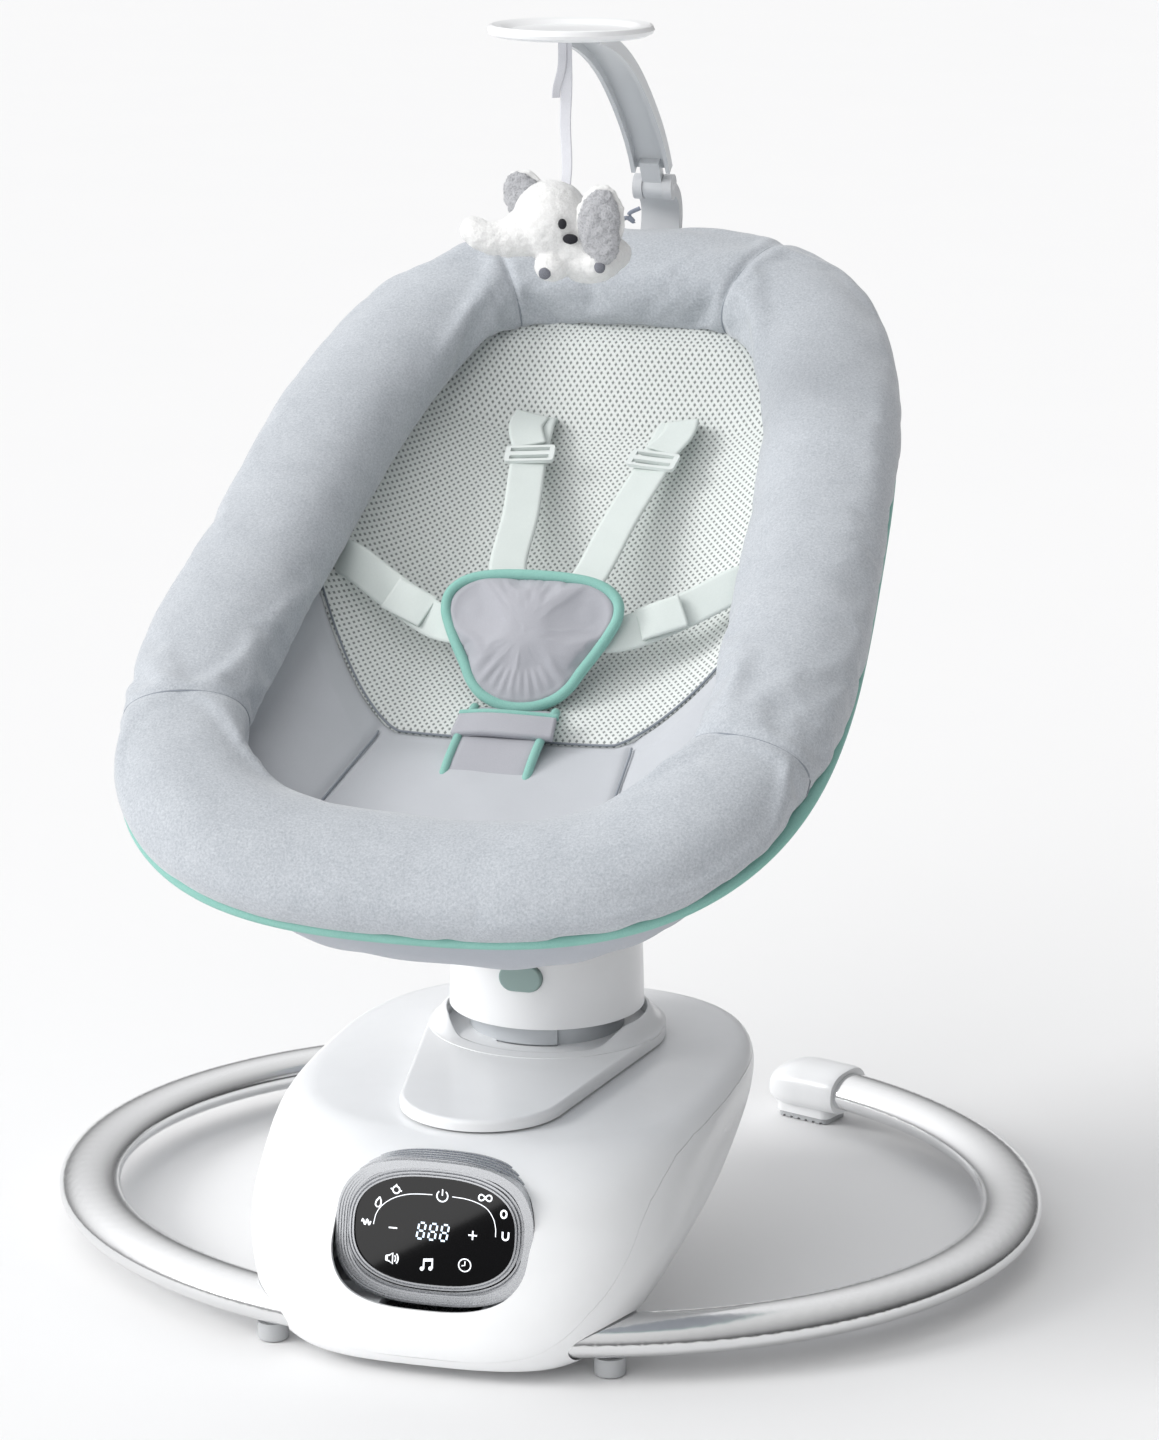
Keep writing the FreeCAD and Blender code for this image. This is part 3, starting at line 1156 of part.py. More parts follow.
# ---------------------------------------------------------------- checks and export
bad = []
for o in doc.Objects:
    if "Invalid" in o.State or "Error" in o.State:
        bad.append("%s %s" % (o.Name, o.State))
seen = set()
for label, o in NODES:
    assert label not in seen, label
    seen.add(label)
    sh = o.Shape
    if sh.isNull() or not sh.isValid() or not sh.Solids:
        bad.append(label + " bad shape")
if bad:
    raise SystemExit("failed: " + "; ".join(bad))
os.makedirs("parts", exist_ok=True)
for f in os.listdir("parts"):
    if f.endswith(".step"):
        os.remove(os.path.join("parts", f))
for label, o in NODES:
    o.Shape.exportStep(os.path.join("parts", label + ".step"))
    bb = o.Shape.BoundBox
    print("%-24s solids %d vol %9.0f  x %7.1f %7.1f  y %7.1f %7.1f  z %7.1f %7.1f" % (
        label, len(o.Shape.Solids), o.Shape.Volume, bb.XMin, bb.XMax, bb.YMin, bb.YMax, bb.ZMin, bb.ZMax))
print(len(NODES), "nodes")
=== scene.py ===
import json
import math
import random

import bmesh
import bpy
import numpy as np
from mathutils import Matrix, Vector, noise


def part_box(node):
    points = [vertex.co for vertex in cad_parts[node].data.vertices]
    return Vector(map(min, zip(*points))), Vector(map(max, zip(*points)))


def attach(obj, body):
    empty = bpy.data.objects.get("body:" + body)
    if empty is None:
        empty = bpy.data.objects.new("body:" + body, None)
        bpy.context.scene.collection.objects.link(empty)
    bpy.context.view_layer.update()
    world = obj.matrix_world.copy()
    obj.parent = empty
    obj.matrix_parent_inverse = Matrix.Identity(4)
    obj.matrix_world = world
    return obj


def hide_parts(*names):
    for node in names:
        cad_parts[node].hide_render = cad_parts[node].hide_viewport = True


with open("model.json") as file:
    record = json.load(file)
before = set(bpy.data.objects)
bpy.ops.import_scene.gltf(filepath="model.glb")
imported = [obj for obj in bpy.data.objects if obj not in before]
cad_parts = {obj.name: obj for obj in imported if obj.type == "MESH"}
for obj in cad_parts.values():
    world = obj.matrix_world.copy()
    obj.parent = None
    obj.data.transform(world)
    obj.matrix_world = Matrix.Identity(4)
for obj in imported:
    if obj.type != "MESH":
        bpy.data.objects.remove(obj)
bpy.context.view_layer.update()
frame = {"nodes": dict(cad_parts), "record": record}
scene = bpy.context.scene

# ------------------------------------------------------------------ camera
D, H, YAW, PITCH, AZ = 2.7, 1.0435657653, -0.0080784, 0.2522923, 0.2723037
TH = AZ + YAW
FWD = Vector((-math.sin(TH) * math.cos(PITCH), math.cos(TH) * math.cos(PITCH), -math.sin(PITCH)))
RIGHT = Vector((math.cos(TH), math.sin(TH), 0))
UP = RIGHT.cross(FWD)
cam_data = bpy.data.cameras.new("camera")
cam = bpy.data.objects.new("camera", cam_data)
scene.collection.objects.link(cam)
m = Matrix((RIGHT, UP, -FWD)).transposed().to_4x4()
m.translation = Vector((D * math.sin(AZ), -D * math.cos(AZ), H))
cam.matrix_world = m
cam_data.sensor_width = 36.0
cam_data.lens = 4220.724 / 1440 * 36
cam_data.clip_start, cam_data.clip_end = 0.05, 200
scene.camera = cam
scene.view_settings.view_transform = "Standard"
scene.view_settings.look = "None"


# --------------------------------------------------------------- materials
def new_mat(name):
    mt = bpy.data.materials.new(name)
    mt.use_nodes = True
    nt = mt.node_tree
    b = nt.nodes["Principled BSDF"]
    return mt, nt, b


def N(nt, kind, **k):
    n = nt.nodes.new(kind)
    for a, v in k.items():
        setattr(n, a, v)
    return n


def L(nt, a, b):
    nt.links.new(a, b)


def setv(node, **k):
    for a, v in k.items():
        node.inputs[a.replace("_", " ")].default_value = v


def coords(nt, kind="Object"):
    return N(nt, "ShaderNodeTexCoord").outputs[kind]


def noise_tex(nt, co, scale, detail=4.0, rough=0.55, stretch=None):
    if stretch:
        mp = N(nt, "ShaderNodeMapping")
        mp.inputs["Scale"].default_value = stretch
        L(nt, co, mp.inputs["Vector"])
        co = mp.outputs["Vector"]
    n = N(nt, "ShaderNodeTexNoise")
    n.inputs["Scale"].default_value = scale
    n.inputs["Detail"].default_value = detail
    n.inputs["Roughness"].default_value = rough
    L(nt, co, n.inputs["Vector"])
    return n.outputs["Fac"]


def ramp(nt, fac, a, b, lo=0.0, hi=1.0):
    r = N(nt, "ShaderNodeValToRGB")
    r.color_ramp.elements[0].position, r.color_ramp.elements[1].position = lo, hi
    r.color_ramp.elements[0].color = (*a, 1)
    r.color_ramp.elements[1].color = (*b, 1)
    L(nt, fac, r.inputs["Fac"])
    return r.outputs["Color"]


def bump(nt, b, height, strength, dist, prev=None):
    bp = N(nt, "ShaderNodeBump")
    bp.inputs["Strength"].default_value = strength
    bp.inputs["Distance"].default_value = dist
    L(nt, height, bp.inputs["Height"])
    if prev is not None:
        L(nt, prev, bp.inputs["Normal"])
    L(nt, bp.outputs["Normal"], b.inputs["Normal"])
    return bp.outputs["Normal"]


def math_node(nt, op, a, b=None, clamp=False):
    n = N(nt, "ShaderNodeMath", operation=op, use_clamp=clamp)
    for i, x in enumerate((a, b)):
        if x is None:
            continue
        if isinstance(x, (int, float)):
            n.inputs[i].default_value = x
        else:
            L(nt, x, n.inputs[i])
    return n.outputs[0]


def plastic(name, col, rough=0.3, coat=0.0, grain=0.15, ior=1.46):
    mt, nt, b = new_mat(name)
    co = coords(nt)
    f = noise_tex(nt, co, 35, 3)
    d = [c * 0.985 for c in col]
    L(nt, ramp(nt, f, d, col, 0.35, 0.65), b.inputs["Base Color"])
    r = N(nt, "ShaderNodeMapRange")
    setv(r, To_Min=rough * 0.9, To_Max=rough * 1.12)
    L(nt, noise_tex(nt, co, 120, 4), r.inputs["Value"])
    L(nt, r.outputs["Result"], b.inputs["Roughness"])
    b.inputs["IOR"].default_value = ior
    b.inputs["Coat Weight"].default_value = coat
    b.inputs["Coat Roughness"].default_value = 0.15
    bump(nt, b, noise_tex(nt, co, 1400, 2), grain, 0.00006)
    return mt


def metal(name, col, rough=0.25, aniso=0.0, streak=(1, 1, 1), scale=900):
    mt, nt, b = new_mat(name)
    co = coords(nt)
    b.inputs["Metallic"].default_value = 1.0
    f = noise_tex(nt, co, scale, 3, 0.6, streak)
    L(nt, ramp(nt, f, [c * 0.93 for c in col], col, 0.3, 0.7), b.inputs["Base Color"])
    r = N(nt, "ShaderNodeMapRange")
    setv(r, To_Min=rough * 0.8, To_Max=rough * 1.25)
    L(nt, f, r.inputs["Value"])
    L(nt, r.outputs["Result"], b.inputs["Roughness"])
    bump(nt, b, f, 0.1, 0.00004)
    return mt


def cloth(name, dark, light, scale=900, rough=0.9, sheen=0.3, weave=0.25, dist=0.00025, heather=0.0, weave_pitch=0.0):
    mt, nt, b = new_mat(name)
    co = coords(nt)
    f1 = noise_tex(nt, co, scale, 4, 0.7)
    f2 = noise_tex(nt, co, 42, 3, 0.6)
    mx = math_node(nt, "ADD", math_node(nt, "MULTIPLY", f1, 0.84 + heather), math_node(nt, "MULTIPLY", f2, 0.16))
    L(nt, ramp(nt, mx, dark, light, 0.3, 0.75), b.inputs["Base Color"])
    b.inputs["Roughness"].default_value = rough
    b.inputs["Sheen Weight"].default_value = sheen
    b.inputs["Sheen Roughness"].default_value = 0.45
    b.inputs["Specular IOR Level"].default_value = 0.15
    h = f1
    if weave_pitch:
        w1 = N(nt, "ShaderNodeTexWave", wave_type="BANDS", bands_direction="X")
        w1.inputs["Scale"].default_value = weave_pitch
        L(nt, coords(nt, "UV"), w1.inputs["Vector"])
        w2 = N(nt, "ShaderNodeTexWave", wave_type="BANDS", bands_direction="Y")
        w2.inputs["Scale"].default_value = weave_pitch
        L(nt, coords(nt, "UV"), w2.inputs["Vector"])
        h = math_node(nt, "ADD", math_node(nt, "MULTIPLY", w1.outputs["Fac"], 0.5), math_node(nt, "MULTIPLY", w2.outputs["Fac"], 0.5))
        h = math_node(nt, "ADD", h, math_node(nt, "MULTIPLY", f1, 0.5))
    bump(nt, b, h, weave, dist)
    return mt


def srgb(r, g, b):
    return tuple(((c / 255) / 12.92 if c / 255 <= 0.04045 else ((c / 255 + 0.055) / 1.055) ** 2.4) for c in (r, g, b))


MAT = {}
MAT["ring_metal"] = metal("ring_metal", (0.86, 0.865, 0.87), 0.17, streak=(1, 1, 12), scale=700)
MAT["foot_rubber"] = plastic("foot_rubber", srgb(188, 190, 192), 0.7, grain=0.6)
MAT["white_shell"] = plastic("white_shell", srgb(246, 247, 248), 0.30, coat=0.2)
MAT["bezel_metal"] = metal("bezel_metal", (0.55, 0.56, 0.58), 0.26)
MAT["panel_glass"] = plastic("panel_glass", (0.002, 0.002, 0.0025), 0.03, coat=0.0, grain=0.0)
MAT["circuit_board"] = plastic("circuit_board", (0.03, 0.2, 0.08), 0.5)
MAT["display_black"] = plastic("display_black", (0.02, 0.02, 0.02), 0.4)
MAT["inner_steel"] = metal("inner_steel", (0.5, 0.51, 0.53), 0.35)
MAT["inner_plastic"] = plastic("inner_plastic", srgb(205, 207, 210), 0.5)
MAT["bronze"] = metal("bronze", (0.7, 0.5, 0.28), 0.35)
MAT["collar_grey"] = plastic("collar_grey", srgb(196, 200, 204), 0.4)
MAT["button_green"] = plastic("button_green", srgb(150, 172, 168), 0.45)
MAT["velour_grey"] = cloth("velour_grey", srgb(160, 166, 173), srgb(206, 210, 215), 700, 0.95, 0.5, 0.5, 0.0006, 0.0)
MAT["mint_trim"] = cloth("mint_trim", srgb(122, 176, 165), srgb(160, 206, 197), 2500, 0.8, 0.2, 0.4, 0.0002)
MAT["pan_fabric"] = cloth("pan_fabric", srgb(186, 189, 194), srgb(200, 203, 208), 2600, 0.85, 0.25, 0.2, 0.00012)
MAT["cover_grey"] = cloth("cover_grey", srgb(165, 170, 178), srgb(190, 194, 202), 2000, 0.9, 0.3, 0.3, 0.0002)
MAT["webbing"] = cloth("webbing", srgb(204, 212, 209), srgb(226, 233, 230), 2600, 0.85, 0.2, 0.5, 0.0002)
MAT["pad_fabric"] = cloth("pad_fabric", srgb(166, 167, 174), srgb(184, 185, 191), 2400, 0.85, 0.25, 0.25, 0.00015)
MAT["adjuster_plastic"] = plastic("adjuster_plastic", srgb(222, 228, 226), 0.35)
MAT["arm_plastic"] = plastic("arm_plastic", srgb(205, 208, 211), 0.35, coat=0.2)
MAT["ribbon_white"] = cloth("ribbon_white", srgb(205, 206, 212), srgb(230, 231, 236), 2500, 0.6, 0.3, 0.3, 0.0001)
MAT["plush_white"] = cloth("plush_white", srgb(232, 232, 231), srgb(250, 250, 249), 700, 0.95, 0.8, 0.7, 0.0012, 0.1)
MAT["plush_grey"] = cloth("plush_grey", srgb(120, 122, 128), srgb(205, 206, 210), 700, 0.95, 0.7, 1.0, 0.0018, 0.4)
MAT["thread_black"] = cloth("thread_black", srgb(28, 28, 32), srgb(58, 58, 64), 2500, 0.7, 0.1, 0.5, 0.0002)
MAT["thread_grey"] = cloth("thread_grey", srgb(88, 90, 98), srgb(150, 152, 160), 2500, 0.8, 0.1, 0.5, 0.0002)
MAT["seam_thread"] = cloth("seam_thread", srgb(128, 134, 142), srgb(160, 166, 174), 2500, 0.85, 0.1, 0.4, 0.0001)
MAT["knot_blue"] = cloth("knot_blue", srgb(140, 147, 163), srgb(176, 183, 197), 2500, 0.8, 0.1, 0.5, 0.0002)

# white spacer mesh with staggered diamond holes filled with painted shade, pattern in metres from the UV map
mt, nt, b = new_mat("mesh_white")
uv = coords(nt, "UV")
sep = N(nt, "ShaderNodeSeparateXYZ")
L(nt, uv, sep.inputs[0])
px_, py_ = 0.0046, 0.0062


def tri(nt, x):
    fr = math_node(nt, "FRACT", x)
    return math_node(nt, "ABSOLUTE", math_node(nt, "SUBTRACT", fr, 0.5))


def lattice(ox, oy):
    x = math_node(nt, "ADD", math_node(nt, "DIVIDE", sep.outputs[0], px_), ox)
    y = math_node(nt, "ADD", math_node(nt, "DIVIDE", sep.outputs[1], py_), oy)
    return math_node(nt, "ADD", tri(nt, x), tri(nt, y))


hole = math_node(nt, "MINIMUM", lattice(0, 0), lattice(0.5, 0.5))
mr = N(nt, "ShaderNodeMapRange", interpolation_type="SMOOTHSTEP")
setv(mr, From_Min=0.14, From_Max=0.30, To_Min=0.0, To_Max=1.0)
L(nt, hole, mr.inputs["Value"])
yarn = noise_tex(nt, coords(nt), 2600, 3)
mixc = N(nt, "ShaderNodeMix", data_type="RGBA")
# hole colour (140, 146, 144) is painted shade: it stands for the shadowed depth seen through the holes
mixc.inputs[6].default_value = (*srgb(140, 146, 144), 1)
L(nt, ramp(nt, yarn, srgb(214, 219, 217), srgb(238, 241, 239), 0.3, 0.7), mixc.inputs[7])
L(nt, mr.outputs["Result"], mixc.inputs[0])
L(nt, mixc.outputs[2], b.inputs["Base Color"])
b.inputs["Roughness"].default_value = 0.8
b.inputs["Sheen Weight"].default_value = 0.2
bump(nt, b, mr.outputs["Result"], 0.7, 0.0008)
MAT["mesh_white"] = mt


def glow(name, col, strength):
    mt_, nt_, b_ = new_mat(name)
    b_.inputs["Base Color"].default_value = (*col, 1)
    b_.inputs["Emission Color"].default_value = (*col, 1)
    b_.inputs["Emission Strength"].default_value = strength
    b_.inputs["Roughness"].default_value = 0.3
    return mt_


MAT["glyph"] = glow("glyph", (0.92, 0.95, 1.0), 0.75)
MAT["digit"] = glow("digit", (0.72, 0.85, 1.0), 0.95)

SLOT = {s["node"]: s["material_slot"] for s in frame["record"]["subparts"]}
for name, o in frame["nodes"].items():
    o.data.materials.clear()
    o.data.materials.append(MAT[SLOT[name]])


# ----------------------------------------------------------------- helpers
def mesh_obj(name, verts, faces, mat, body, slot=None, smooth=True, uvs=None):
    me = bpy.data.meshes.new(name)
    me.from_pydata([tuple(v) for v in verts], [], faces)
    me.update()
    if uvs is not None:
        lay = me.uv_layers.new(name="UVMap")
        for li, lp in enumerate(me.loops):
            lay.data[li].uv = uvs[lp.vertex_index]
    if smooth:
        me.polygons.foreach_set("use_smooth", [True] * len(me.polygons))
    o = bpy.data.objects.new(name, me)
    scene.collection.objects.link(o)
    me.materials.append(MAT[mat])
    o["ride_on"] = body
    o["slot_name"] = slot or mat
    return o


def done(o, body=None, slot=None):
    body = body or o["ride_on"]
    slot = slot or o["slot_name"]
    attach(o, body)
    return o


def apply_mods(o):
    dg = bpy.context.evaluated_depsgraph_get()
    me = bpy.data.meshes.new_from_object(o.evaluated_get(dg))
    old = o.data
    o.modifiers.clear()
    o.data = me
    bpy.data.meshes.remove(old)
    me.polygons.foreach_set("use_smooth", [True] * len(me.polygons))


def pw(x, p):
    return math.copysign(abs(x) ** p, x)


TAU = math.radians(28.2)
SX, SV, SN = Vector((1, 0, 0)), Vector((0, math.cos(TAU), math.sin(TAU))), Vector((0, -math.sin(TAU), math.cos(TAU)))
SO = Vector((0, -0.0121, 0.4502))


def seat(u, v, w):
    return SO + SX * u + SV * v + SN * w


def rim_uvw(a, dw=0.0, dl=0.0):
    u = (0.1805 + dw) * pw(math.cos(a), 2 / 3.49)
    v = (0.2989 + dl) * pw(math.sin(a), 2 / 3.49)
    vv = v / 0.2989
    u *= 1 - 0.1208 * vv - 0.0091 * vv * vv
    w = 0.0155 * vv * vv + 0.0155 * (u / 0.1805) ** 2
    return u, v, w


def even(n, fn, m=2880):
    p = [Vector(fn(2 * math.pi * i / m)) for i in range(m + 1)]
    acc = np.cumsum([0] + [(p[i + 1] - p[i]).length for i in range(m)])
    t = np.interp(np.arange(n) * acc[-1] / n, acc, np.arange(m + 1))
    return [2 * math.pi * x / m for x in t], acc[-1]


# ----------------------------------------------------------- rim bolster
SEAMS = [(-0.105, 0.30), (0.095, 0.30), (-0.18, -0.185), (0.20, -0.20)]   # where the cross seams lie


def bolster():
    n, k = ((360, 48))
    angs, length = even(n, lambda a: rim_uvw(a))
    ctr = [Vector(rim_uvw(a)) for a in angs]
    seam_i = []
    for su, sv in SEAMS:
        d = [(c.x - su) ** 2 + (c.y - sv) ** 2 for c in ctr]
        seam_i.append(int(np.argmin(d)))
    verts, faces = [], []
    pins = {}
    for i in range(n):
        t = (ctr[(i + 1) % n] - ctr[i - 1]).normalized()
        side = Vector((t.y, -t.x, 0)).normalized()        # outward in the seat plane
        dist = min(min(abs(i - s), n - abs(i - s)) for s in seam_i) * length / n
        g = math.exp(-(dist / 0.004) ** 2)
        swell = 1.0 - 0.035 * math.exp(-(dist / 0.03) ** 2)
        vv = ctr[i].y / 0.2989
        hw = 0.0435 * (1 + 0.023 * vv) * swell * (1 - 0.04 * g)
        ht_up = 0.0305 * (1 + 0.03 * vv) * swell * (1 - 0.10 * g)
        ht_dn = 0.024
        for j in range(k):
            b_ = 2 * math.pi * j / k
            c, s = math.cos(b_), math.sin(b_)
            x = hw * pw(c, 0.92)
            z = (ht_up if s > 0 else ht_dn) * pw(s, 0.92)
            p = ctr[i] + side * x
            q = seat(p.x, p.y, p.z + z)
            nz = noise.noise(q * 14) * 0.0014 + noise.noise(q * 38) * 0.0005
            nn = (side * c).x, (side * c).y
            q += (SX * (side.x * c) + SV * (side.y * c) + SN * s) * nz
            if j < k // 2 + 1 and g > 0.02:
                pins[len(verts)] = g
            if abs(s + 1) < 0.25:
                pins[len(verts)] = 1.0
            verts.append(q)
    for i in range(n):
        for j in range(k):
            a0, a1 = i * k + j, i * k + (j + 1) % k
            b0, b1 = ((i + 1) % n) * k + j, ((i + 1) % n) * k + (j + 1) % k
            faces.append((a0, a1, b1, b0))
    # stitched cross seams, lying in their grooves
    for q_, si in enumerate(seam_i):
        loop_ = [verts[si * k + j] + (verts[si * k + j] - verts[si * k + (j + k // 2) % k]).normalized() * 0.0002 for j in range(-3, k // 2 + 4)]
        sm_ = tube("rim_seam_%d" % (q_ + 1), loop_, 0.0009, "seam_thread", "seat", k=6)
        done(sm_)
    o = mesh_obj("seat_rim_cushion", verts, faces, "velour_grey", "seat")
    vg = o.vertex_groups.new(name="pin")
    for i, w in pins.items():
        vg.add([i], min(1.0, w), "REPLACE")
    return o


def simulate(objs, frames, pressure):
    scene.frame_start, scene.frame_end = 1, frames
    for o, pr, shrink in zip(objs, pressure, (0.03, 0.02, 0.02, 0.02)):
        md = o.modifiers.new("cloth", "CLOTH")
        s = md.settings
        s.quality = 5
        s.mass = 0.25
        s.tension_stiffness = s.compression_stiffness = 18
        s.shear_stiffness = 8
        s.bending_stiffness = 0.9
        s.use_pressure = True
        s.uniform_pressure_force = pr
        s.shrink_min = -shrink
        s.vertex_group_mass = "pin"
        s.effector_weights.gravity = 0
        md.collision_settings.use_collision = False
        md.point_cache.frame_start, md.point_cache.frame_end = 1, frames
    rest = {o.name: np.array([v.co[:] for v in o.data.vertices]) for o in objs}
    for f in range(1, frames + 1):
        scene.frame_set(f)
    dg = bpy.context.evaluated_depsgraph_get()
    for o in objs:
        ev = o.evaluated_get(dg)
        co = np.empty(len(ev.data.vertices) * 3)
        ev.data.vertices.foreach_get("co", co)
        co = co.reshape(-1, 3)
        d = co - rest[o.name]
        ln = np.linalg.norm(d, axis=1, keepdims=True)
        d *= np.minimum(1.0, 0.0035 / np.maximum(ln, 1e-9))
        new = np.where(np.isfinite(d), rest[o.name] + d, rest[o.name])
        o.modifiers.clear()
        o.data.vertices.foreach_set("co", new.ravel())
        o.data.update()
    scene.frame_set(1)


# ------------------------------------------------- inner lining: back and pan
def depth(u, v):
    vv = v / 0.2989
    uu = abs(u) / (0.150 * (1 - 0.1208 * vv - 0.0091 * vv * vv))
    # centre line
    cl = np.interp(v, [-0.29, -0.25, -0.225, -0.127, 0, 0.181, 0.24, 0.29], [0.012, 0.0, -0.012, -0.040, -0.045, -0.028, 0.004, 0.014])
    rimw = 0.0155 * vv * vv + 0.0155 * 0.72 - 0.016
    k = min(1.0, uu) ** 4.2
    w = cl + (max(rimw, cl) - cl) * k
    return w


def v_crease(u):
    x = max(0.0, (abs(u) - 0.070) / 0.085)
    return -0.118 + 0.112 * min(1.3, x) ** 1.35


def lining():
    nu, nv = ((240, 170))
    out = []
    for part in ("pan", "back"):
        verts, uvs, faces = [], [], []
        rows = nv if part == "back" else nv // 2
        for j in range(rows + 1):
            t = j / rows
            for i in range(nu + 1):
                x = -1 + 2 * i / nu
                u0 = x * 0.158
                vc = v_crease(u0)
                v = vc + (0.272 - vc) * t if part == "back" else vc + (-0.272 - vc) * t
                vv = v / 0.2989
                u = u0 * (1 - 0.1208 * vv * 0.7)
                w = depth(u, v)
                dv = abs(v - vc)
                w -= 0.0022 * math.exp(-(dv / 0.004) ** 2)
                if part == "pan":
                    # side seams and the side walls that puff between the seams
                    us = 0.084 + 0.010 * (-(v + 0.118)) / 0.1
                    ds = abs(abs(u) - us)
                    w -= 0.0024 * math.exp(-(ds / 0.0035) ** 2) * min(1, dv / 0.01 + 0.3)
                    if abs(u) > us:
                        w += 0.0075 * math.sin(min(1.0, (abs(u) - us) / 0.065) * math.pi) * min(1, dv / 0.03)
                    w += 0.0030 * math.exp(-((u) / 0.06) ** 2) * math.sin(min(1.0, dv / 0.12) * math.pi)
                    pk = noise.noise(Vector((u * 30, v * 30, 3)))
                    w += 0.0009 * pk * min(1, dv / 0.01)
                else:
                    w += 0.0010 * noise.noise(Vector((u * 12, v * 12, 1)))
                p = seat(u, v, w)
                verts.append(p)
                uvs.append((u, v * 1.03))
        for j in range(rows):
            for i in range(nu):
                a0 = j * (nu + 1) + i
                f = (a0, a0 + 1, a0 + nu + 2, a0 + nu + 1)
                faces.append(f if part == "back" else f[::-1])
        o = mesh_obj("seat_" + part, verts, faces, "mesh_white" if part == "back" else "pan_fabric", "seat", uvs=uvs)
        sm = o.modifiers.new("thick", "SOLIDIFY")
        sm.thickness = 0.0024
        sm.offset = -1
        apply_mods(o)
        out.append(o)
    return out


def tube(name, pts, r, mat, body, closed=False, k=10, flat=1.0, up=None, radii=None):
    n = len(pts)
    verts, faces = [], []
    for i in range(n):
        a = pts[(i - 1) % n] if closed or i else pts[0]
        c = pts[(i + 1) % n] if closed or i < n - 1 else pts[-1]
        t = (c - a).normalized()
        s = t.cross(up or Vector((0, 0, 1)))
        if s.length < 1e-4:
            s = t.cross(Vector((1, 0, 0)))
        s.normalize()
        v2 = s.cross(t)
        rr = radii[i] if radii else r
        for j in range(k):
            b_ = 2 * math.pi * j / k
            verts.append(pts[i] + s * math.cos(b_) * rr + v2 * math.sin(b_) * rr * flat)
    m_ = n if closed else n - 1
    for i in range(m_):
        for j in range(k):
            a0, a1 = i * k + j, i * k + (j + 1) % k
            b0, b1 = ((i + 1) % n) * k + j, ((i + 1) % n) * k + (j + 1) % k
            faces.append((a0, b0, b1, a1))
    if not closed:
        faces.append(tuple(range(k)))
        faces.append(tuple(range((n - 1) * k, n * k))[::-1])
    return mesh_obj(name, verts, faces, mat, body)


def smooth_line(pts, n):
    """Catmull-Rom through the points."""
    p = [Vector(x) for x in pts]
    p = [p[0] * 2 - p[1]] + p + [p[-1] * 2 - p[-2]]
    out = []
    segs = len(p) - 3
    for i in range(n + 1):
        x = i / n * segs
        s = min(int(x), segs - 1)
        t = x - s
        a, b_, c, d = p[s:s + 4]
        out.append(0.5 * ((2 * b_) + (c - a) * t + (2 * a - 5 * b_ + 4 * c - d) * t * t + (3 * b_ - a - 3 * c + d) * t ** 3))
    return out


def strap(name, pts, wide, thick, mat, body, across, n=60):
    """Webbing along pts; across is the direction of its width at each end."""
    line = smooth_line(pts, n)
    verts, faces, uvs = [], [], []
    prof = []
    kk = 10
    for i in range(kk + 1):
        prof.append((-1 + 2 * i / kk, 1))
    for i in range(kk + 1):
        prof.append((1 - 2 * i / kk, -1))
    ln = 0
    for i, p in enumerate(line):
        t = (line[min(i + 1, n)] - line[max(i - 1, 0)]).normalized()
        f = i / n
        wd = (Vector(across[0]) * (1 - f) + Vector(across[1]) * f)
        wd = (wd - t * wd.dot(t)).normalized()
        nm = t.cross(wd)
        if i:
            ln += (line[i] - line[i - 1]).length
        for x, s in prof:
            e = thick / 2 * (0.8 if abs(x) > 0.99 else 1.0)
            verts.append(p + wd * (x * wide / 2) + nm * (s * e))
            uvs.append((x * wide / 2, ln))
    k = len(prof)
    for i in range(n):
        for j in range(k):
            a0, a1 = i * k + j, i * k + (j + 1) % k
            b0, b1 = (i + 1) * k + j, (i + 1) * k + (j + 1) % k
            faces.append((a0, b0, b1, a1))
    faces.append(tuple(range(k)))
    faces.append(tuple(range(n * k, (n + 1) * k))[::-1])
    return mesh_obj(name, verts, faces, mat, body, uvs=uvs)


# ------------------------------------------------------------ build it all
rim = bolster()


# harness pad: a rounded triangle, widest at the top, puffed, with gathers below
PAD_C, LEAN = Vector((0.001, -0.0485, 0.4135)), math.radians(57)
PAD_M = Matrix.Translation(PAD_C) @ Matrix.Rotation(LEAN, 4, "X")


PAD_HALF = [(45.5, 6), (44.8, 22), (42.5, 38), (37.5, 50), (29, 57.5), (18, 58.5), (7, 54.5), (-6, 48), (-20, 40), (-32, 33.5), (-41, 25), (-46.5, 14), (-48.5, 4)]


def pad_line(scale, m=160):
    """Closed outline in the pad's plane: widest above its middle, narrow and round below."""
    right = [Vector((x / 1000, y / 1000 * 0.98, 0)) for y, x in PAD_HALF]
    left = [Vector((-p.x, p.y, 0)) for p in reversed(right)]
    ring_ = right + left
    n_ = len(ring_)
    pts_ = []
    for i in range(n_):
        a, b_, c, d = ring_[i - 1], ring_[i], ring_[(i + 1) % n_], ring_[(i + 2) % n_]
        for k in range(12):
            t = k / 12
            pts_.append(0.5 * ((2 * b_) + (c - a) * t + (2 * a - 5 * b_ + 4 * c - d) * t * t + (3 * b_ - a - 3 * c + d) * t ** 3))
    acc = np.cumsum([0] + [(pts_[(i + 1) % len(pts_)] - pts_[i]).length for i in range(len(pts_))])
    xs = np.append([q.x for q in pts_], pts_[0].x)
    ys = np.append([q.y for q in pts_], pts_[0].y)
    at_ = np.arange(m) * acc[-1] / m
    return [(float(x) * scale, float(y) * scale) for x, y in zip(np.interp(at_, acc, xs), np.interp(at_, acc, ys))]


